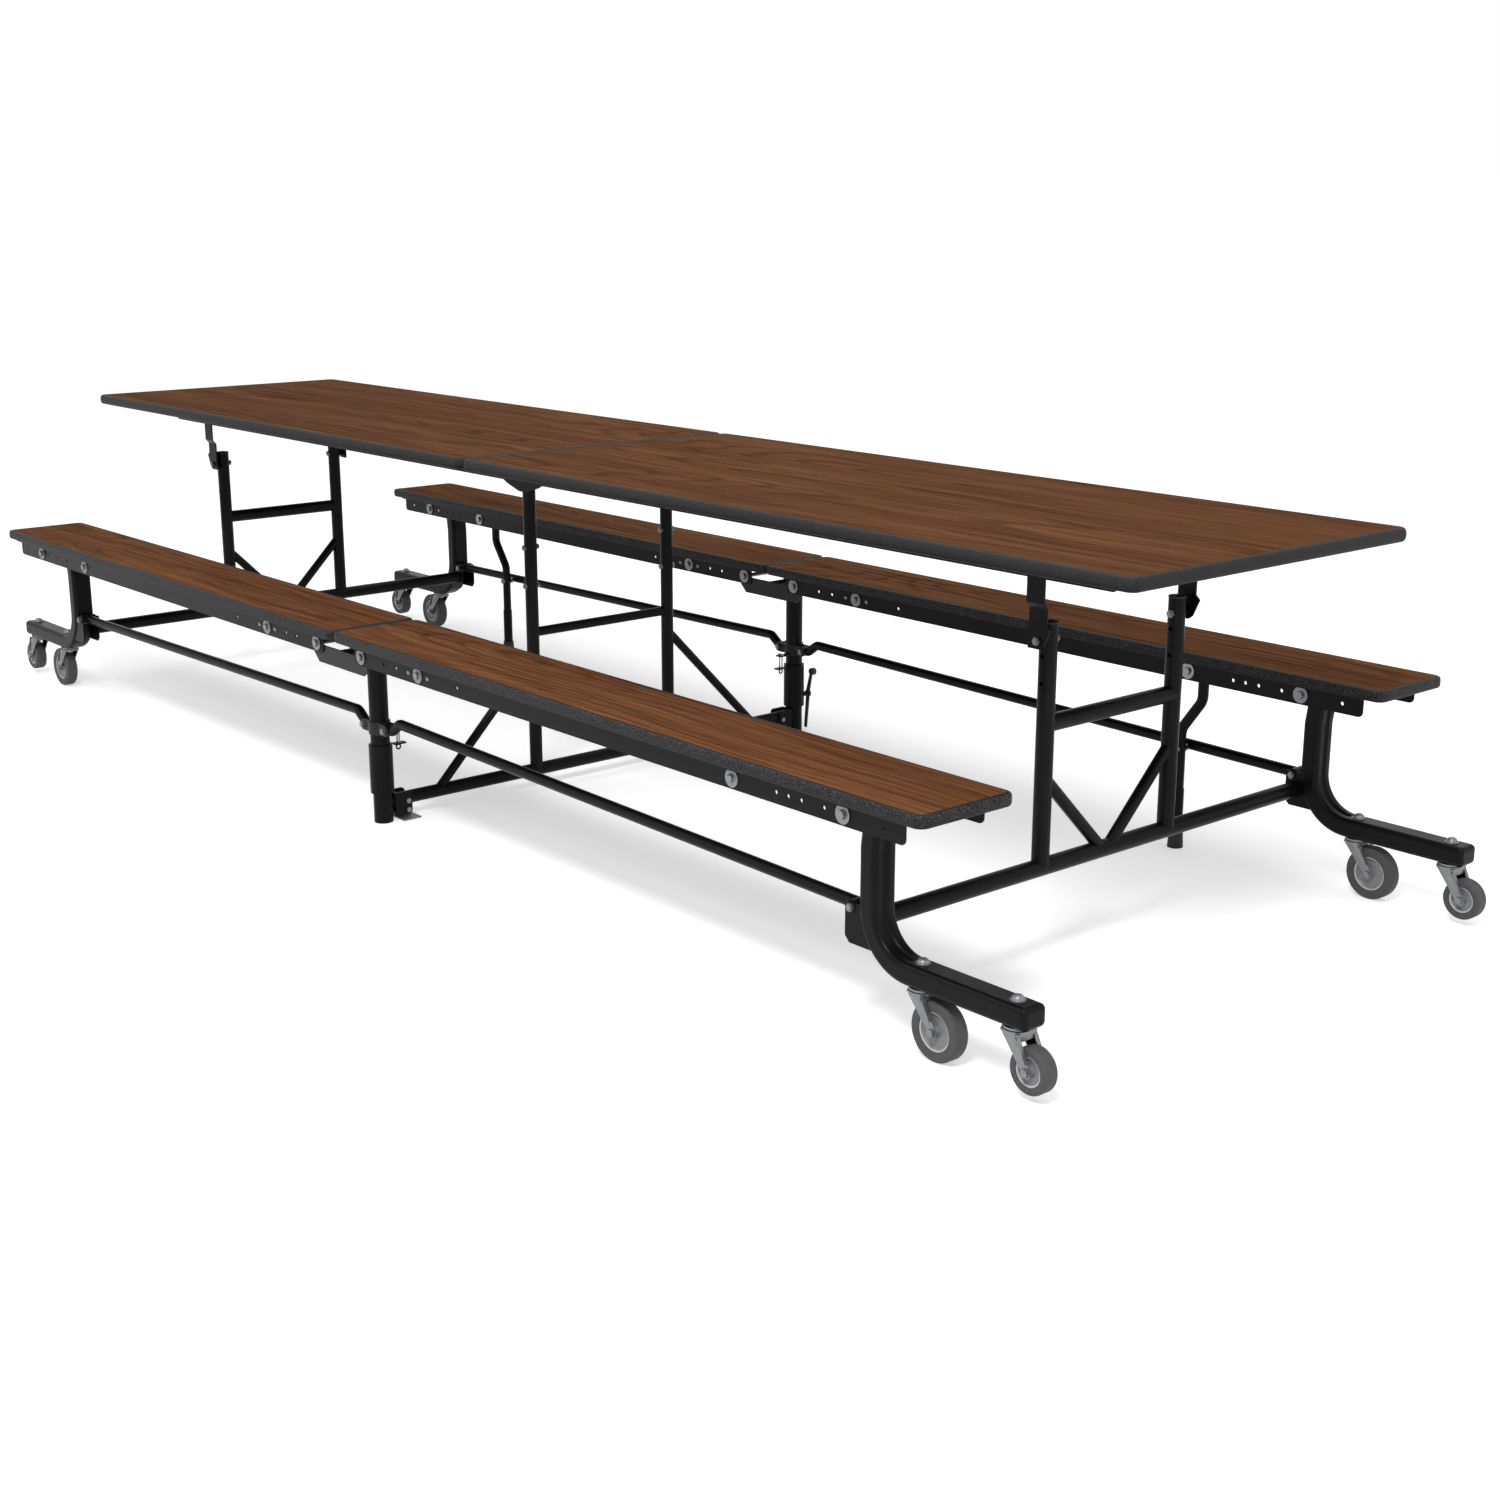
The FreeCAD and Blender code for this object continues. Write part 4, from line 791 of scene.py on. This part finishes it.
def king_domes():
    """Flanged domes of the casters' king bolts on top of the feet."""
    flange_r, dome_r, rise, flange_t = 13.0 * MM, 10.5 * MM, 10.0 * MM, 1.9 * MM
    profile = [(0.0, 0.0), (0.0, flange_r), (1.6 * MM, flange_r), (flange_t, flange_r - 0.8 * MM)]
    for k in range(9):
        turn = math.pi / 2 * k / 8
        profile.append((flange_t + (rise - flange_t) * math.sin(turn), dome_r * math.cos(turn)))
    for side, sx in SIDES:
        bm = bmesh.new()
        for stem_x, *_ in CASTERS.values():
            for row, sy in ROWS:
                lathe(bm, profile, (sx * stem_x, sy * LEG_Y, FOOT_TOP), (0.0, 0.0, 1.0), 28)
        make_object("king_domes_" + side, bm, FINISH["zinc"], body_of("end_frame_" + side))


def post_caps():
    """Low domed caps on the posts, each with a thin rim over the tube."""
    places = [("end_caps_" + side, body_of("end_frame_" + side), sx * END_X, POST_Y, POST_TOP, POST_R)
              for side, sx in SIDES]
    places.append(("centre_caps", body_of("centre_frame"), 0.0) + CENTRE_POST)
    for name, body, x, y, top, radius in places:
        bm = bmesh.new()
        rim = radius + 0.6 * MM
        profile = ((-2.0 * MM, 0.0), (-2.0 * MM, rim), (0.6 * MM, rim),
                   (1.4 * MM, radius - 0.4 * MM), (2.4 * MM, radius * 0.6), (2.8 * MM, 0.0))
        for s in (-1, 1):
            lathe(bm, profile, (x, s * y, top), (0.0, 0.0, 1.0), 28)
        make_object(name, bm, FINISH["boot_rubber"], body)


def spacer_bolts():
    """Bolts with fender washers and their spacer tubes between the two rails, and the rivets beside them."""
    washer_r, head_base = 16.0 * MM, 3.2 * MM
    # profiles of (height off the rail's face, radius)
    washer = ((0.0, 0.0), (0.0, washer_r), (1.6 * MM, washer_r), (2.1 * MM, washer_r - 0.6 * MM),
              (2.1 * MM, 9.5 * MM), (head_base, 8.8 * MM), (head_base, 0.0))
    rivet = ((0.0, 0.0), (0.0, 5.0 * MM), (0.8 * MM, 4.8 * MM), (1.9 * MM, 3.7 * MM), (2.5 * MM, 1.9 * MM),
             (2.6 * MM, 0.0))
    inner = RAIL_OFF - 2.6 * MM
    spacer = ((-inner, 0.0), (-inner, SPACER_R), (inner, SPACER_R), (inner, 0.0))
    for side, sx in SIDES:
        for row, sy in ROWS:
            bolts, rivets, tubes = bmesh.new(), bmesh.new(), bmesh.new()
            # on the rear row the drop leg's own bolt takes the place of the outer one
            places = SPACER_BOLTS if row == "F" else SPACER_BOLTS[:1]
            for f in (-1, 1):
                face_y = sy * BENCH_Y + f * RAIL_OFF
                out = (0.0, float(f), 0.0)
                for x in places:
                    place = (sx * x, face_y, SEAT_PIVOT_Z)
                    lathe(bolts, washer, place, out, 28)
                    hex_head(bolts, place, out, 7.2 * MM, head_base, 4.6 * MM)
                for x in RIVETS:
                    lathe(rivets, rivet, (sx * x, face_y, SEAT_PIVOT_Z), out, 16)
            for x in places:
                lathe(tubes, spacer, (sx * x, sy * BENCH_Y, SEAT_PIVOT_Z), (0.0, 1.0, 0.0), 24)
            for name, bm in (("spacer_bolts_", bolts), ("rail_rivets_", rivets), ("spacer_tubes_", tubes)):
                make_object(name + row + side, bm, FINISH["zinc"], "bench_" + row + side)


dress_nodes()
spacer_bolts()
fork_skirts()
table_straps()
end_tubes()
king_domes()
post_caps()
set_camera()
set_lights()
set_floor()
bpy.context.scene.view_settings.view_transform = "Standard"
